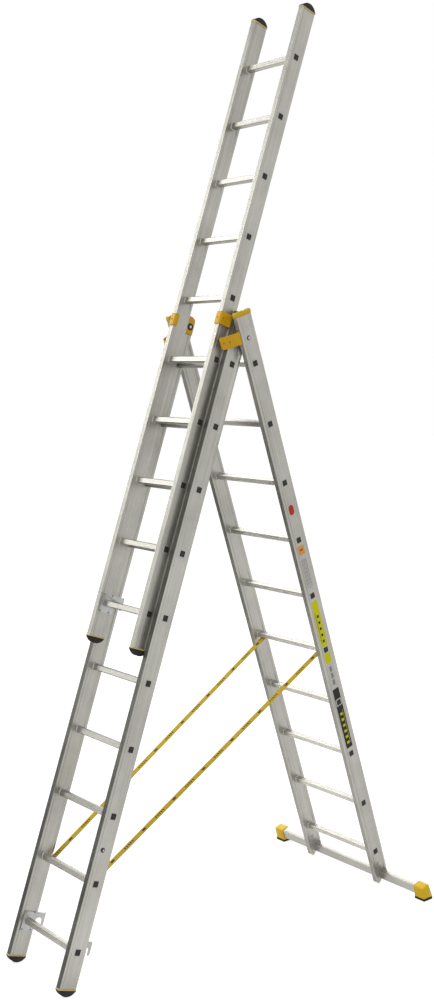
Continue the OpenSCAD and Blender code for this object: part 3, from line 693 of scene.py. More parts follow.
def stile_outline(width, front, back):
    """Right stile: outer side up, inner side down, each with a flange, a slope, a rib
    half as high as the recess, and the web. Fine grooves mark the two narrow faces."""
    edge = -front + FLANGE
    half = np.array([[-front, 0], [edge - 1.6, 0.4], [edge, RECESS + 0.5],
                     [edge + 1.4, RECESS + 0.5], [edge + 2.0, RECESS - 0.7],
                     [edge + 4.0, RECESS - 0.7], [edge + 4.6, RECESS], [edge + 5, RECESS]])
    other = half[::-1] * [-1, 1] + [back - front, 0]
    side = np.concatenate([half, other])
    groove = np.array([[c + a, d] for c in (-7.4, -2.5, 2.5, 7.4)
                       for a, d in ((-1.1, 0), (-0.8, 1.5), (0.8, 1.5), (1.1, 0))])
    outer = np.stack([width / 2 - side[:, 1], side[:, 0]], 1)
    rear = np.stack([width / 2 - STILE_T / 2 - groove[:, 0], back - groove[:, 1]], 1)
    inner = np.stack([width / 2 - STILE_T + side[::-1, 1], side[::-1, 0]], 1)
    face = np.stack([width / 2 - STILE_T / 2 + groove[:, 0], -front + groove[:, 1]], 1)
    corners = np.concatenate([outer, rear, inner, face])
    radius = np.full(len(corners), 0.25)
    ends = np.cumsum([0, len(outer), len(rear), len(inner)])
    radius[[ends[0], ends[1] - 1, ends[2], ends[3] - 1]] = 1.8
    return rounded(corners, radius, 3)


print("stile outline:", len(stile_outline(WIDTH["rear"], *STILES["rear"])), "points")

# %% [markdown]
# The outline is pulled out to the stile's length. Looking up into the lower end shows
# that the tube is hollow, so the wall is real there, and the bore goes in twelve
# centimetres; further up it would not be seen. Every stile is drawn for the right side,
# and the left one is its mirror image.

# %% Stiles
def hollow(outline, inner, low, high):
    """A tube: the outline outside, the box inside, joined by pulling the last ring in."""
    centre = inner.mean(axis=0)
    toward = outline - centre
    reach = np.abs(inner - centre).max(axis=0)
    scale = np.min(reach / np.maximum(np.abs(toward), 1e-9), axis=1)[:, None]
    bore = centre + toward * scale
    return rings(np.stack([level(bore, low + BORE), level(bore, low),
                           level(inset(outline, 0.3), low), level(outline, low + 0.3),
                           level(outline, high)]))


def shade_narrow_faces(piece, section, material):
    """The narrow faces, front and back, take a second, much darker material, painted shade
    for their grooves: those whose centre lies within 1.8 mm of the outline's least or
    greatest y, measured in the section's frame."""
    piece.data.materials.append(material)
    centres = np.zeros(len(piece.data.polygons) * 3, np.float32)
    piece.data.polygons.foreach_get("center", centres)
    backward = turn_x(SECTIONS[section] * LEAN)[:, 1]
    y = (centres.reshape(-1, 3) * 1000 - ORIGIN[section]) @ backward
    front, back = STILES[section]
    narrow = (y < 1.8 - front) | (y > back - 1.8)
    piece.data.polygons.foreach_set("material_index", narrow.astype(np.int32))


stile_ends = {"rear": (-2690.4, 231.0), "middle": (-2668.9, 221.5), "top": (-2668.9, 223.9)}
stile_shape = {}
for section, (front, back) in STILES.items():
    web = WIDTH[section] / 2 - STILE_T + RECESS + WALL
    depth = STILE_T - 2 * (RECESS + WALL)
    bore = np.array([[web, -front + WALL], [web + depth, back - WALL]])
    stile_shape[section] = hollow(stile_outline(WIDTH[section], front, back), bore,
                                  *stile_ends[section])
for section in ("middle", "top"):
    for side in SIDES:
        piece = add(f"{section}_stile_{side}_profile", on_side(stile_shape[section], side),
                    section, "aluminium", alu[section], f"{section}_stile_{side}", crease=25)
        if section == "middle":
            # painted shade on the narrow front and back faces
            shade_narrow_faces(piece, section, alu_painted_shade)

# %% [markdown]
# The rear stiles end in a seat for the stabiliser beam: the back part is cut away, and a
# tongue with a round end stays in front of the beam. A boolean cut does what the saw
# does, and its result is kept as plain mesh, so the cutter can go. Sawn faces are flat,
# and so is their shading.

# %% The seat for the beam in the rear stiles
SEAT_TOP, SEAT_FRONT, TONGUE_R = -2637.4, -3.0, 18.5
FAR, BELOW = 60, -2720


def cut(piece, cutter):
    """The piece minus the cutter, with the modifier's result put into the piece's mesh."""
    boolean = piece.modifiers.new("cut", "BOOLEAN")
    boolean.operation, boolean.solver, boolean.object = "DIFFERENCE", "EXACT", cutter
    boolean.use_self = True
    seen = piece.evaluated_get(bpy.context.evaluated_depsgraph_get())
    result = bpy.data.meshes.new_from_object(seen)
    piece.modifiers.clear()
    piece.data = result
    bpy.data.objects.remove(cutter)
    piece.data.shade_flat()


def tongue_space(x0, x1):
    """What the saw takes, seen from the side: all behind the seat's front, and all below
    the tongue's half circle."""
    a = np.linspace(np.pi, 2 * np.pi, 33)
    middle = SEAT_FRONT - TONGUE_R
    low = stile_ends["rear"][0] + TONGUE_R
    arc = np.stack([middle + TONGUE_R * np.cos(a), low + TONGUE_R * np.sin(a)], 1)
    rest = [[SEAT_FRONT, SEAT_TOP], [FAR, SEAT_TOP], [FAR, BELOW], [-FAR, BELOW], [-FAR, low]]
    return pulled_x(np.concatenate([arc, rest])[::-1], [(0, x0), (0, x1)])


for side, sign in SIDES.items():
    piece = make(f"rear_stile_{side}_profile", on_side(stile_shape["rear"], side), "rear")
    saw = sorted([sign * (WIDTH["rear"] / 2 - 40), sign * (WIDTH["rear"] / 2 + 15)])
    cut(piece, make("saw", tongue_space(*saw), "rear"))
    dress(piece, "rear", "aluminium", alu["rear"], f"rear_stile_{side}")

# %% [markdown]
# Rungs are square tubes with bevelled corners, set square to the stiles. Every face has
# fine ridges for grip. The ridges could be a bump in the material, but they catch light
# along their whole length, so they are in the outline.

# %% Rungs
def rung_outline():
    """One side with five grooves, then the same side turned three times by a right angle."""
    x = np.array([-7.6, -3.8, 0, 3.8, 7.6])
    notch = np.stack([x - 1.2, x - 0.8, x + 0.8, x + 1.2], 1).ravel()
    depth = np.tile([0, 0.6, 0.6, 0], len(x))
    side = np.stack([np.concatenate([[-RUNG / 2 + BEVEL], notch, [RUNG / 2 - BEVEL]]),
                     -RUNG / 2 + np.concatenate([[0], depth, [0]])], 1)
    turns = np.array([[[1, 0], [0, 1]], [[0, -1], [1, 0]],
                      [[-1, 0], [0, -1]], [[0, 1], [-1, 0]]])
    return rounded(np.einsum("kab,nb->kna", turns, side).reshape(-1, 2), 0.2, 2)


for section, width in WIDTH.items():
    end = width / 2 - STILE_T + RECESS + 1
    one = pulled_x(rung_outline(), [(0, -end), (0, end)])
    add(section + "_rung_treads", on_every_rung(one), section, "aluminium", alu_across,
        section + "_rungs", crease=20)

# %% [markdown]
# A rung is fixed by squeezing: the tube bulges against the inside of the stile, and its
# end is rolled over on the outside. Both marks are small, but they tell how the ladder
# is made. They are the same square outline with rings that swell and fall again.

# %% Bulges and rolled rung ends
square = box_outline(-RUNG / 2, RUNG / 2, -RUNG / 2, RUNG / 2, 3.6)
for section, width in WIDTH.items():
    web = width / 2 - STILE_T + RECESS
    bulge = pulled_x(square, [(-2.6, -web - 0.3), (-2.8, -web + 0.8), (-2.2, -web + 2.2),
                              (-1.2, -web + 3.2), (-0.4, -web + 4.2), (0.3, -web + 5.0)])
    outer = width / 2 - RECESS
    lip = pulled_x(square, [(-1.4, outer - 0.5), (-1.4, outer + 0.5), (-0.9, outer + 1.1),
                            (0.2, outer + 1.3), (1.0, outer + 1.0), (1.6, outer + 0.2)])
    marks = joined(both_sides(bulge), both_sides(lip))
    add(section + "_rung_bulges", on_every_rung(marks), section, "aluminium", alu_cut)

# %% [markdown]
# Black plugs close the rung ends, so that no dirt or water gets in. A plug has a rounded
# rim, a dished middle and a small boss where the plastic was injected. The rings of one
# outline go out, up, in and down again; the boss is a second, smaller outline.

# %% Rung plugs
for section, width in WIDTH.items():
    web, top = width / 2 - RECESS, width / 2 + 1.0
    plug = box_outline(-12, 12, -12, 12, 2.0)
    steps = [(0.4, web - 0.5), (0, web), (0, top - 0.9), (0.3, top - 0.25), (0.8, top),
             (1.5, top), (1.8, top - 0.3), (1.9, top - 1.1)]
    boss = pulled_x(box_outline(-4, 4, -4, 4, 1.5),
                    [(0, top - 1.3), (0, top - 0.6), (0.5, top - 0.3)])
    one = both_sides(joined(pulled_x(plug, steps), boss))
    add(section + "_rung_plug_caps", on_every_rung(one), section, "black_rubber", plug_black,
        section + "_rung_plugs", crease=35)

# %% [markdown]
# The feet are soft rubber with a round tread, so that the same foot stands on the floor
# as an A-frame and leans against a wall. Grooves run across the tread. The outline is an
# arc whose radius dips at every groove; a yellow band covers the joint with the stile.

# %% Feet, end caps and bands
BAND, RISE, OVER, GROOVES = 5.0, 26.0, 1.5, 9.0
END, TOP_END = -2669.0, 224.0


def foot_outline(front, back):
    """Half chord and rise give the arc's radius, (half^2 + rise^2) / 2 rise. The radius is
    less by one millimetre wherever a cosine of the angle, cut square, is negative."""
    half = (front + back) / 2 + OVER
    r = (half ** 2 + RISE ** 2) / (2 * RISE)
    reach = np.arcsin(half / r)
    a = np.linspace(-reach, reach, 121)
    dip = 1.1 * np.clip(-4 * np.cos(a * r / GROOVES * 2 * np.pi) - 1.6, 0, 1)
    dip = dip * (np.abs(a) < reach * 0.86)
    y = (back - front) / 2 + (r - dip) * np.sin(a)
    z = r - RISE - (r - dip) * np.cos(a)
    return np.column_stack([y, z - BAND])


def across_stile(section):
    """Where a cap that overlaps the right stile starts and ends in x."""
    outside = WIDTH[section] / 2 + OVER
    return outside - STILE_T - 2 * OVER, outside


def foot(section):
    """The right foot or end cap, its flat top on the band, at the section's lower end."""
    x0, x1 = across_stile(section)
    r = 1.3
    steps = [(r, x0), (r * 0.35, x0 + r * 0.3), (0, x0 + r), (0, x0 + 10), (0.5, x0 + 10.4),
             (0.5, x1 - 10.4), (0, x1 - 10), (0, x1 - r), (r * 0.35, x1 - r * 0.3), (r, x1)]
    return moved(pulled_x(foot_outline(*STILES[section]), steps), z=END)


def band(section):
    """A rounded rectangle with soft rims and a shallow groove half way up."""
    front, back = STILES[section]
    outline = box_outline(*across_stile(section), -front - OVER, back + OVER, 2.5)
    steps = [(0.8, -BAND), (0.2, -BAND + 0.3), (0, -BAND + 0.9), (0, -2.9), (0.35, -2.6),
             (0.35, -2.2), (0, -1.9), (0, -0.7), (0.6, 0)]
    return moved(pulled(outline, steps), z=END)


def upside_down(shape, top):
    """The same end at the section's top: z turns over round the middle of both ends."""
    return shape[0] * [1, 1, -1] + [0, 0, END + top], [f[:, ::-1] for f in shape[1]]


def both_ends(shape):
    """The end of the right stile, its copy on top, and both again on the left."""
    return both_sides(joined(shape, upside_down(shape, TOP_END)))


add("middle_rubber_feet", both_sides(foot("middle")), "middle", "black_rubber", rubber,
    "middle_feet")
add("middle_yellow_bands", both_sides(band("middle")), "middle", "yellow_plastic", gold,
    "middle_foot_bands")
add("top_rubber_caps", both_ends(foot("top")), "top", "black_rubber", rubber, "top_end_caps")
add("top_yellow_bands", both_ends(band("top")), "top", "yellow_plastic", gold,
    "top_end_bands")

# %% [markdown]
# The rear stiles carry moulded yellow caps with a soft dome and a parting groove, and
# the middle ones a flat black cap. Both are a rounded rectangle with rings drawn in
# towards the top.

# %% Stile caps
front, back = STILES["rear"]
outline = box_outline(*across_stile("rear"), -front - OVER, back + OVER, 3.5, 6)
steps = [(0.8, 214), (0.2, 214.3), (0, 215), (0, 218.4), (0.5, 218.8), (0.5, 219.6), (0, 220),
         (0, 230.5), (0.4, 232.4), (1.2, 234), (2.2, 234.7), (3.4, 235)]
add("rear_yellow_caps", both_sides(pulled(outline, steps)), "rear", "yellow_plastic",
    yellow, "rear_stile_caps")

front, back = STILES["middle"]
side_x = WIDTH["middle"] / 2
outline = box_outline(side_x - STILE_T, side_x, -front, back, 2.0)
steps = [(0.3, 221.4), (0, 221.8), (0, 223.6), (0.4, 224.5), (1.4, 225)]
add("middle_black_caps", both_sides(pulled(outline, steps)), "middle", "black_rubber",
    plug_black, "middle_stile_caps")

# %% [markdown]
# The brackets are bent from 3 mm steel: they wrap the next section and let it slide.
# Bent sheet is a thin, tall ring carried along a bent line. The bends get a radius,
# because sheet cannot fold sharply, and the ring grows shorter towards both ends, which
# rounds the corners of the lips.

# %% Bent sheet
SHEET, BRACKET_TALL, BRACKET_LOW = 3.0, 55.0, {"rear": 100.0, "middle": 150.0}


def bent_line(corners, radius, steps=7):
    """The rounded outline of the corners, but open: its first and last corner stay."""
    curve = rounded(corners, [0] + [radius] * (len(corners) - 2) + [0], steps)
    gaps = np.linalg.norm(np.diff(curve, axis=0), axis=1)
    along = np.concatenate([[0], np.cumsum(gaps)])
    lip = np.array([0, 0.4, 1.2, 2.4, 4, 6, 9])
    at = np.unique(np.round(np.concatenate([along, lip, along[-1] - lip]), 4))
    return np.stack([np.interp(at, along, curve[:, k]) for k in (0, 1)], 1), at


def bent_sheet(corners, low, height, radius=6.0, lip_r=9.0):
    """At a distance d from an end, less than the lip radius r, the sheet is lower by
    r - sqrt(r^2 - (r - d)^2) at its top and bottom."""
    path, at = bent_line(corners, radius)
    slope = np.gradient(path, at, axis=0)
    slope /= np.linalg.norm(slope, axis=1, keepdims=True)
    left = np.stack([-slope[:, 1], slope[:, 0]], 1)
    d = np.minimum(np.minimum(at, at[-1] - at), lip_r)
    less = lip_r - np.sqrt(np.maximum(lip_r ** 2 - (lip_r - d) ** 2, 0))
    ring = box_outline(-SHEET / 2, SHEET / 2, -height / 2, height / 2, 0.8, 3)
    tall = ring[None, :, 1] * (1 - less[:, None] / (height / 2)) + low + height / 2
    flat = path[:, None] + left[:, None] * ring[None, :, :1]
    return rings(np.concatenate([flat, tall[..., None]], axis=-1))


W, M = WIDTH["rear"] / 2, WIDTH["middle"] / 2
loop_line = np.array([[W - 26.5, 22], [W - 26.5, -41.5], [W - 1.5, -41.5],
                      [W - 31.5, -106.5], [W - 43.5, -118.5], [W - 53.5, -118.5]])
guide_line = np.array([[M - 26.5, -20], [M - 26.5, -48], [M - 31, -62], [M - 31, -105.5],
                       [M - 63, -105.5], [M - 63, -83.5]])
for name, section, line in (("rear_bracket", "rear", loop_line),
                            ("guide_bracket", "middle", guide_line)):
    sheet = bent_sheet(line, BRACKET_LOW[section], BRACKET_TALL)
    for side in SIDES:
        add(f"{name}_{side}_sheet", on_side(sheet, side), section, "amber_steel", amber,
            f"{name}_{side}")

# the guide bracket's leaf is one flat plate that also covers the stile's top end
leaf = rounded([[-46, 150], [39.5, 150], [39.5, 212], [33.5, 225], [19.5, 232], [-46, 232]],
               [2, 3, 6, 4, 6, 6])
leaf = pulled_x(leaf, rim(M - STILE_T - SHEET - 0.05, M - STILE_T + 0.05, 0.5))
add("guide_bracket_leaves", both_sides(leaf), "middle", "amber_steel", amber)

# %% [markdown]
# Bolts, rivets and washers are turned parts: a profile of radius against length, swept
# round an axis. With six steps round instead of many, the same sweep gives a hexagon.
# Heads have a chamfer or a dome, and a small washer face under them.

# %% Turned parts
def turned(profile, sides=40, phase=0.0):
    """Rings of radius r at height h along x, for each (h, r) of the profile."""
    a = np.linspace(0, 2 * np.pi, sides, endpoint=False) + phase
    h, r = np.asarray(profile, float).T
    circle = np.stack([np.cos(a), np.sin(a)], 1)
    flat = r[:, None, None] * circle[None]
    return rings(np.concatenate([np.broadcast_to(h[:, None, None], flat.shape[:2] + (1,)),
                                 flat], axis=-1))


def dome(base, height, radius, rows=7):
    """A rivet head: height times the sine and radius times the cosine of a quarter turn."""
    a = np.linspace(0, np.pi / 2 * 0.97, rows)
    return [(base - 0.6, radius * 0.98), (base, radius)] + \
           [(base + height * s, radius * c) for s, c in zip(np.sin(a)[1:], np.cos(a)[1:])]


def hex_head(base, height, radius):
    """Washer face, six flats, a 30 degree chamfer and a shallow dish."""
    return [(base, radius * 0.97), (base + 0.3, radius), (base + height - 0.9, radius),
            (base + height - 0.3, radius * 0.93), (base + height, radius * 0.80),
            (base + height, radius * 0.55), (base + height - 0.4, radius * 0.45)]


def nut(base, height, radius, bolt):
    """A hexagon nut with the bolt's end standing out of it a little."""
    body = turned(hex_head(base, height, radius), 6)
    end = turned([(base, bolt), (base + height - 0.5, bolt), (base + height, bolt * 0.8)], 24)
    return joined(body, end)


print("rivet:", len(turned(dome(0, 2, 4))[0]), "points")

# %% [markdown]
# Each bolt sits where the frame has it. Rivets on bent sheet are turned to the slope of
# their plate, so their domes stand square on it. They could be one piece with the sheet,
# but the mandrel's end in each dome needs a finish of its own: near black, painted shade
# for the rivet's hollow centre.

# %% Bolts and rivets of the loop brackets
RIVET_R, RIVET_H, LOOP_BOLT_Z = 4.0, 2.0, 115.0


def aimed(shape, x, y, z, angle):
    """Turned about z by the angle from x, then moved to its place."""
    c, s = np.cos(angle), np.sin(angle)
    return shape[0] @ np.array([[c, s, 0], [-s, c, 0], [0, 0, 1]]) + [x, y, z], shape[1]


def hardware(name, section, slot, material, shape, *nodes):
    """Both sides' copies of one right-hand part, as one piece."""
    return add(name, both_sides(shape), section, slot, material, *nodes, crease=30)


def riveted(bracket, section, spots):
    """Rivets at (x, y, angle), half way up the bracket: an amber dome each, which stands
    for the frame's rivet, and in its middle the mandrel's end, near black as painted shade
    for the rivet's hollow."""
    z = BRACKET_LOW[section] + BRACKET_TALL / 2
    mandrel = turned([(SHEET / 2 + 1.0, 2.6), (SHEET / 2 + 2.35, 2.6), (SHEET / 2 + 2.5, 2.2)],
                     20)
    heads = joined(*[aimed(turned(dome(SHEET / 2, RIVET_H, RIVET_R)), x, y, z, angle)
                     for x, y, angle in spots])
    hardware(bracket + "_rivet_heads", section, "amber_steel", amber, heads,
             bracket + "_rivets")
    # mandrel ends, near black as painted shade for each rivet's hollow
    ends = joined(*[aimed(mandrel, x, y, z, angle) for x, y, angle in spots])
    hardware(bracket + "_rivet_mandrels_and_hole_shade", section, "zinc_steel", mandrel_hole_shade_black, ends)


web, inner = W - RECESS, W - STILE_T - SHEET
loop_bolt = joined(turned(hex_head(web, 4.5, 8.0), 6, 0.2),
                   mirrored(nut(inner, 4, 8.0, 5.0), inner),
                   turned([(inner - 0.5, 5.0), (web + 0.5, 5.0)], 24))
hardware("rear_bracket_hex_bolts", "rear", "zinc_steel", zinc,
         moved(loop_bolt, z=LOOP_BOLT_Z), "rear_bracket_bolts")
collar = turned([(web - 0.3, 10.6), (web + 0.7, 10.6), (web + 1.0, 10.2), (web + 1.0, 6)], 40)
hardware("rear_bracket_bolt_seals", "rear", "black_rubber", plug_black,
         moved(collar, z=LOOP_BOLT_Z))
bevel, plate = loop_line[4] - loop_line[3], loop_line[3] - loop_line[2]
spots = ((loop_line[3] + bevel / 2, bevel), (loop_line[3] - plate * 0.25, plate))
riveted("rear_bracket", "rear",
        [(*at, np.arctan2(way[1], way[0]) + np.pi / 2) for at, way in spots])

# %% [markdown]
# A round-headed bolt with a wide black washer holds the guide bracket's leaf to the
# stile's inner face, where hands pass it, and two rivets sit on its bent arm. Washer and
# head are turned profiles again, with the axis pointing inwards.

# %% Bolts, washers and rivets of the guide brackets
GUIDE_BOLT = dict(y=18, z=185)
seat = M - STILE_T - SHEET
washer = turned([(seat, 15.4), (seat - 0.4, 16), (seat - 2.0, 16), (seat - 2.5, 15.2),
                 (seat - 2.5, 5.0)][::-1], 48)
hardware("guide_black_washers", "middle", "black_rubber", plug_black,
         moved(washer, **GUIDE_BOLT), "guide_bracket_washers")
head = turned([(seat - 4.5, 1.2), (seat - 4.4, 4.6), (seat - 4.0, 6.4), (seat - 3.2, 7.0),
               (seat - 2.3, 6.9)], 40)
shank = turned([(seat - 2.5, 4.0), (seat + 2.9, 4.0)], 24)
hardware("guide_bolt_heads", "middle", "zinc_steel", zinc,
         moved(joined(head, shank), **GUIDE_BOLT), "guide_bracket_bolts")
riveted("guide_bracket", "middle", [(M - 31, -89.5, 0), (M - 47, -105.5, -np.pi / 2)])

# %% [markdown]
# The hinge hides between the stiles: a pin through the rear stile's inner web, and an ear
# of plate riveted to the middle stile. The ear is a flat outline whose end is an arc
# round the pin; the pin is a turned part with three collars.

# %% Hinge
PIN = {"rear": (-10.0, 55.0), "middle": (52.0, 74.5)}
EAR_T, EAR_R = 4.0, 14.0
web = W - STILE_T + RECESS
start, past_ear = M - 3.4, M + EAR_T + 0.4
pin = turned([(start, 5.0), (start + 0.2, 8.6), (start + 0.6, 9), (start + 2.8, 9),
              (start + 3, 8.6), (start + 3, 6), (past_ear, 6), (past_ear, 8.7),
              (past_ear + 0.4, 9), (web - 0.1, 9), (web, 8.6), (web, 6),
              (web + 2, 6), (web + 2, 8.7), (web + 2.4, 9), (web + 4.6, 9), (web + 5, 8.4),
              (web + 5, 2)], 48)
y, z = PIN["rear"]
hardware("hinge_pin_collars", "rear", "zinc_steel", zinc, moved(pin, y=y, z=z), "hinge_pins")

y, z = PIN["middle"]
a = np.linspace(-np.pi / 2, np.pi / 2, 25)
arc = np.stack([y + EAR_R * np.cos(a), z + EAR_R * np.sin(a)], 1)
ear = np.concatenate([rounded([[10, z - 22], [14, z - 21.2], [14, z + 28.5], [10, z + 30]],
                              1.2)[:5], arc, [[10, z + 30]]])
hardware("hinge_ear_plates", "middle", "zinc_steel", zinc,
         pulled_x(ear, rim(M, M + EAR_T, 0.4)), "hinge_ears")
rivet = turned(dome(M + EAR_T, RIVET_H, RIVET_R))
hardware("hinge_ear_rivet_heads", "middle", "zinc_steel", dark_steel,
         copies(rivet, [(25, z - 11), (25, z + 15)]), "hinge_ear_rivets")

# %% [markdown]
# Hooks on the lowest rung hold a section on the rung of the one behind it. The plate is
# stamped: a body riveted to the stile, and an arm that reaches round a slot. The slot's
# top is a half circle a little wider than a rung's corner.

# %% Hooks
HOOK_R = float(np.hypot(RUNG / 2, RUNG / 2 - BEVEL)) + 0.5
HOOK_HALF, HOOK_DROP, HOOK_ARM, LOWEST = 43.0, 18.0, 12.0, -PITCH * (RUNGS - 1)


def hook_outline(reach):
    """Anti-clockwise: bottom edge, up the slot's near side, over its half circle, down the
    arm, round its foot, and back along the top. Corners are rounded; the slot is an arc."""
    a = np.linspace(np.pi, 0, 25)
    slot = np.stack([reach + HOOK_R * np.cos(a), HOOK_R * np.sin(a)], 1)
    tip = reach + HOOK_R + HOOK_ARM
    start = rounded([[-29, HOOK_HALF], [-29, -HOOK_HALF], [reach - HOOK_R, -HOOK_HALF],
                     [reach - HOOK_R, -5]], [3, 3, 2, 0.5])
    arm = rounded([[reach + HOOK_R, -5], [reach + HOOK_R, -HOOK_DROP],
                   [tip - HOOK_ARM / 3, -HOOK_DROP], [tip, -HOOK_DROP + HOOK_ARM / 2],
                   [tip, HOOK_HALF - HOOK_ARM / 2], [tip - HOOK_ARM / 2, HOOK_HALF]],
                  [0.5, 1.5, 2, 2, 4, 4])
    return np.concatenate([start, slot, arm])


for section, reach in (("middle", 54.0), ("top", 62.0)):
    inside = WIDTH[section] / 2 - STILE_T
    plate = pulled_x(hook_outline(reach), rim(inside - SHEET, inside, 0.5))
    plate = moved(plate, z=LOWEST)
    for side in SIDES:
        add(f"{section}_hook_{side}_plate", on_side(plate, side), section, "zinc_steel", zinc,
            f"{section}_hook_{side}", crease=35)
    head = mirrored(turned(dome(inside - SHEET, RIVET_H, RIVET_R)), inside - SHEET)
    heads = copies(head, [(y, LOWEST + z) for y in (-23, 23) for z in (-37, 37)])
    hardware(section + "_hook_rivet_heads", section, "zinc_steel", dark_steel, heads,
             section + "_hook_rivets")

# %% [markdown]
# A dome-headed screw with a black washer closes a hole in each middle stile. It is too
# small to need more than two turned parts, but the washer's shadow line is what shows.

# %% Side screws
web = M - RECESS
place = dict(y=-9, z=-7.5 * PITCH)
washer = turned([(web - 0.3, 10), (web + 2.4, 10), (web + 3.0, 9.2), (web + 3.0, 3)], 40)
hardware("side_screw_washers", "middle", "black_rubber", plug_black, moved(washer, **place),
         "middle_side_screws")
screw = turned([(web + 2.7, 4.8), (web + 3.4, 5), (web + 6.4, 4.6), (web + 7.6, 3.4),
                (web + 8.0, 2.2), (web + 7.0, 2.0), (web + 7.0, 0.5)], 32)
hardware("side_screw_heads", "middle", "zinc_steel", zinc, moved(screw, **place))

# %% [markdown]
# One screw holds each end of the straps. Its head is turned like the others, along x, and
# then the axes change places: downwards below the front rung, backwards behind the rear.

# %% Strap screws
points, faces = turned(dome(STRAP_OFF + STRAP_T / 2, 2.0, 5.0), 32)
for section, order, flip, name in (("middle", [1, 2, 0], [-1, 1, -1], "front"),
                                   ("rear", [1, 0, 2], [-1, 1, 1], "rear")):
    head = moved((points[:, order] * flip, faces), x=strap_x[section], z=-STRAP_DOWN[section])
    hardware("strap_screw_heads_" + name, section, "zinc_steel", zinc, head,
             "strap_screws_" + name)

# %% [markdown]
# The stabiliser is a wide tube bolted across the rear feet. Its moulded end caps flare
# down to rubber soles, which is why they are drawn upright, in the frame's own axes,
# while the tube leans with the section.

# %% Stabiliser beam
BEAM_Y, BEAM_Z, BEAM_D, BEAM_H, BEAM_L = 17.0, -2659.9, 40.0, 45.0, 1020.0
BEAM_TOP = BEAM_Z + BEAM_H / 2


def tube_outline(wide, tall):
    """Rounded rectangle with two shallow grooves on the front and back faces."""
    g = np.array([[-9.5, 0], [-8.7, 0.6], [-7.3, 0.6], [-6.5, 0],
                  [6.5, 0], [7.3, 0.6], [8.7, 0.6], [9.5, 0]])
    back = np.stack([wide / 2 - g[:, 1], g[:, 0]], 1)
    corners = np.concatenate([[[wide / 2, -tall / 2]], back, [[wide / 2, tall / 2],
                              [-wide / 2, tall / 2]], -back, [[-wide / 2, -tall / 2]]])
    radius = np.full(len(corners), 0.25)
    radius[[0, len(back) + 1, len(back) + 2, -1]] = 2.0
    return rounded(corners, radius)


ends = [(0, 5 - BEAM_L / 2), (0, BEAM_L / 2 - 5)]
tube = pulled_x(tube_outline(BEAM_D, BEAM_H), ends)
add("stabiliser_tube", moved(tube, y=BEAM_Y, z=BEAM_Z), "rear", "aluminium", alu_across,
    "stabiliser_beam", crease=25)

# %% [markdown]
# A cap is the outline of the sole's footprint and the tube's top joined by straight
# sides, pulled along the tube, with a soft outer end. The sole below it has shallow
# grooves for grip.

# %% Beam caps and soles
sole_low, sole_high = (np.array(c) * 1000 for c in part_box("beam_soles"))
SOLE_T = float(sole_high[2])
cap_in = BEAM_L / 2 - 58.0
sole_y0, sole_y1 = float(sole_low[1]), float(sole_high[1])
tops = placed("rear", [[0, BEAM_Y + s * (BEAM_D / 2 + 3), BEAM_TOP + 3]
                       for s in (1, -1)])[:, 1:] * 1000
corners = [[sole_y0, SOLE_T], [sole_y1, SOLE_T], [sole_y1 - 0.6, SOLE_T + 5], tops[0], tops[1],
           [sole_y0 + 0.6, SOLE_T + 5]]
outline = rounded(corners, [2.9, 2.9, 2, 7, 7, 2], 6)
steps = [(0.6, cap_in), (0, cap_in + 0.6), (0, cap_in + 6), (0.6, cap_in + 6.6),
         (0.6, cap_in + 8), (0, cap_in + 8.6), (0, BEAM_L / 2 - 4), (0.35, BEAM_L / 2 - 2.2),
         (1.3, BEAM_L / 2 - 0.7), (2.8, BEAM_L / 2)]
upright = make("beam_yellow_caps", both_sides(pulled_x(outline, steps)), None, crease=40)
dress(upright, "rear", "yellow_plastic", bright_yellow, "beam_caps")
g = np.linspace(sole_y0 + 6, sole_y1 - 6, 7)[:, None]
grooves = np.concatenate([np.stack([g - 1.4, g - 0.9, g + 0.9, g + 1.4], 1).reshape(-1, 1),
                          np.tile([0, 1.5, 1.5, 0], len(g))[:, None]], axis=1)
corners = np.concatenate([[[sole_y0, 0]], grooves, [[sole_y1, 0], [sole_y1, SOLE_T + 0.1],
                                                    [sole_y0, SOLE_T + 0.1]]])
outline = rounded(corners, [1.2] + [0.2] * len(grooves) + [1.2, 0.4, 0.4], 3)
sole = pulled_x(outline, rim(cap_in, BEAM_L / 2, 0.8))
upright = make("beam_rubber_soles", both_sides(sole), None, crease=40)
dress(upright, "rear", "black_rubber", rubber, "beam_soles")
print("sole", round(sole_y1 - sole_y0, 1), "mm deep,", round(SOLE_T, 1), "mm thick")

# %% [markdown]
# Two bolts with nuts hold the tube in each foot. They go through both webs of the stile,
# so head, shank and nut are drawn as one turned set, and the set is used twice.

# %% Bolts of the beam
web, inner = W - RECESS, W - STILE_T + RECESS
bolt = joined(turned(hex_head(web, 4.0, 6.5), 6, 0.3), mirrored(nut(inner, 5, 6.5, 4.0), inner),
              turned([(inner - 0.5, 4.0), (web + 0.5, 4.0)], 24))
hardware("beam_hex_bolts", "rear", "zinc_steel", zinc,
         copies(bolt, [(11, BEAM_TOP + 16), (0, BEAM_TOP + 46)]), "beam_bolts")

# %% [markdown]
# Printed films lie on the right rear web, cut out round the rung ends. Each film is a
# thin rounded plate in its own colour. It could be painted on the stile's material, but
# then the metal would have to know each film's place, and its edge would not show.

# %% Films
FILM_T = 0.3
film_web = W - RECESS


def on_web(outline, thick=FILM_T):
    """A flat outline in y and z becomes a plate on the right rear web."""
    return pulled_x(outline, [(0, film_web), (0, film_web + thick)])


def film(y0, y1, s0, s1, radius=2.0, thick=FILM_T):
    """A plate on the web from s0 to s1 pitches below the top rung."""
    return on_web(box_outline(y0, y1, -s1 * PITCH, -s0 * PITCH, radius), thick)


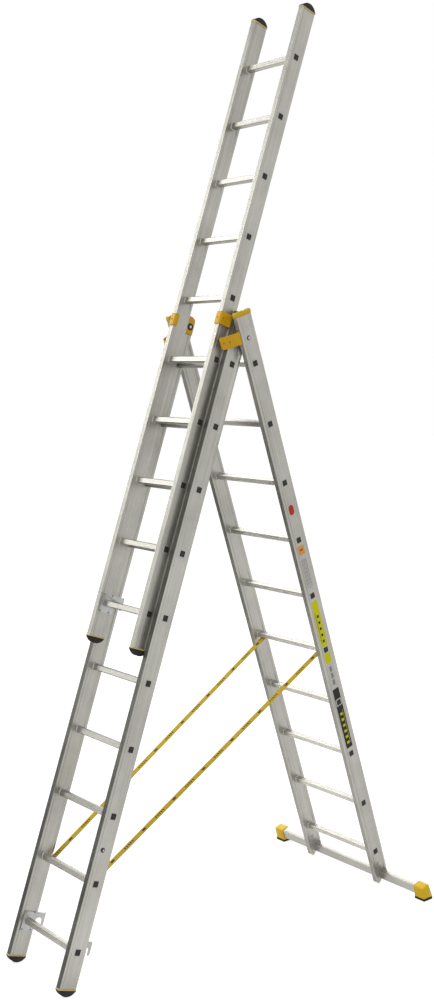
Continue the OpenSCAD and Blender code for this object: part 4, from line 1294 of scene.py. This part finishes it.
tones = {"yellow": (0.74, 0.72, 0.012), "pale": (0.66, 0.65, 0.62),
         "orange": (0.80, 0.42, 0.10), "black": (0.012, 0.012, 0.012),
         "red": (0.55, 0.045, 0.03), "grey": (0.30, 0.28, 0.26)}
inks = {}
for ink, tone in tones.items():
    # the surface recipe with a very fine grain and small specks of dust
    light = tuple(min(1.0, c * 1.12 + 0.004) for c in tone)
    rough = (0.3, 0.42) if ink == "black" else (0.4, 0.52)
    inks[ink] = surface("film_" + ink, tone, light, rough, 0.0008, bump=0.05, speck=0.15,
                        gloss=0.2)
plates = {
    "orange": [(-20, 20, 3.1, 3.26)],
    "pale": [(-20, 20, 3.26, 3.9), (-20, 20, 5.25, 5.72)],
    "yellow": [(-20, 20, 4.1, 5.25, 6.0)],
    "black": [(-20, 20, 5.74, 6.88)],
}
for ink, places in plates.items():
    stands_for = ["stile_labels"] if ink == "orange" else []
    films = joined(*[film(*place) for place in places])
    add("film_" + ink, films, "rear", "label", inks[ink], *stands_for)

# %% [markdown]
# The films carry plain blocks and stripes only, and an oval badge has a pale rim round a
# red field. The print is a still thinner plate on each film, in the inks made above. Bare
# metal shows round two plugs, where the films are cut out.

# %% Plain print and a badge
PRINT_T, CUT_OUT_T, BADGE_DOWN = 0.36, 0.42, 2.47 * PITCH


def oval(half_wide, half_long):
    """Two half circles apart: cosine and sine times the half width, and the sine's sign
    times what the half length has more."""
    a = np.linspace(0, 2 * np.pi, 48, endpoint=False)
    apart = (half_long - half_wide) * np.sign(np.sin(a + 1e-6))
    return np.stack([half_wide * np.cos(a), apart + half_wide * np.sin(a)], 1)


for name, ink, outline, thick in (("badge_rim", "pale", oval(17.5, 26), FILM_T),
                                  ("badge_field", "red", oval(15.6, 24.1), PRINT_T)):
    add(name, moved(on_web(outline, thick), z=-BADGE_DOWN), "rear", "label", inks[ink],
        crease=32)


def blocks(y0, y1, s0, s1, count, gap):
    """A row of equal blocks down the stile from s0 to s1 pitches, with gaps in
    millimetres between them."""
    gap = gap / PITCH
    edge = np.linspace(s0, s1 + gap, count + 1)
    return [film(y0, y1, a, b - gap, 0.4, PRINT_T) for a, b in zip(edge[:-1], edge[1:])]


prints = {
    "black": [(-5, 7, 4.36, 4.86, 5, 19), (-13, -11, 4.3, 4.86, 1, 0)],
    "yellow": [(-9, 7, 6.20, 6.80, 6, 18), (11, 13, 6.16, 6.8, 1, 0)],
    "grey": [(-16, -13, 3.34, 3.84, 9, 3), (-9, -6, 3.34, 3.8, 7, 3),
             (-2, 1, 3.34, 3.86, 8, 3), (5, 8, 3.34, 3.78, 9, 3),
             (12, 15, 3.34, 3.84, 6, 3), (-6, 8, 5.32, 5.66, 3, 8)],
    "red": [(-10, 10, 3.16, 3.19, 1, 0)],
}
for ink, rows in prints.items():
    marks = joined(*[block for row in rows for block in blocks(*row)])
    add("print_" + ink, marks, "rear", "label", inks[ink])
round_plug = on_web(box_outline(-18, 18, -18, 18, 5), CUT_OUT_T)
add("film_cut_outs", copies(round_plug, [(0, -5 * PITCH), (0, -6 * PITCH)]), "rear", "label",
    alu["rear"])

# %% [markdown]
# Last comes the tally: the box of the finished model is set beside the frame's box, and
# how much it has grown is printed.

# %% Sizes and the end
shown_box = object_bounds()
grow = np.array([[float(v) for v in c] for c in shown_box]) - np.array(
    [[float(v) for v in c] for c in cad_box])
print("growth of the box, millimetres:", (grow * 1000).round(2).tolist())
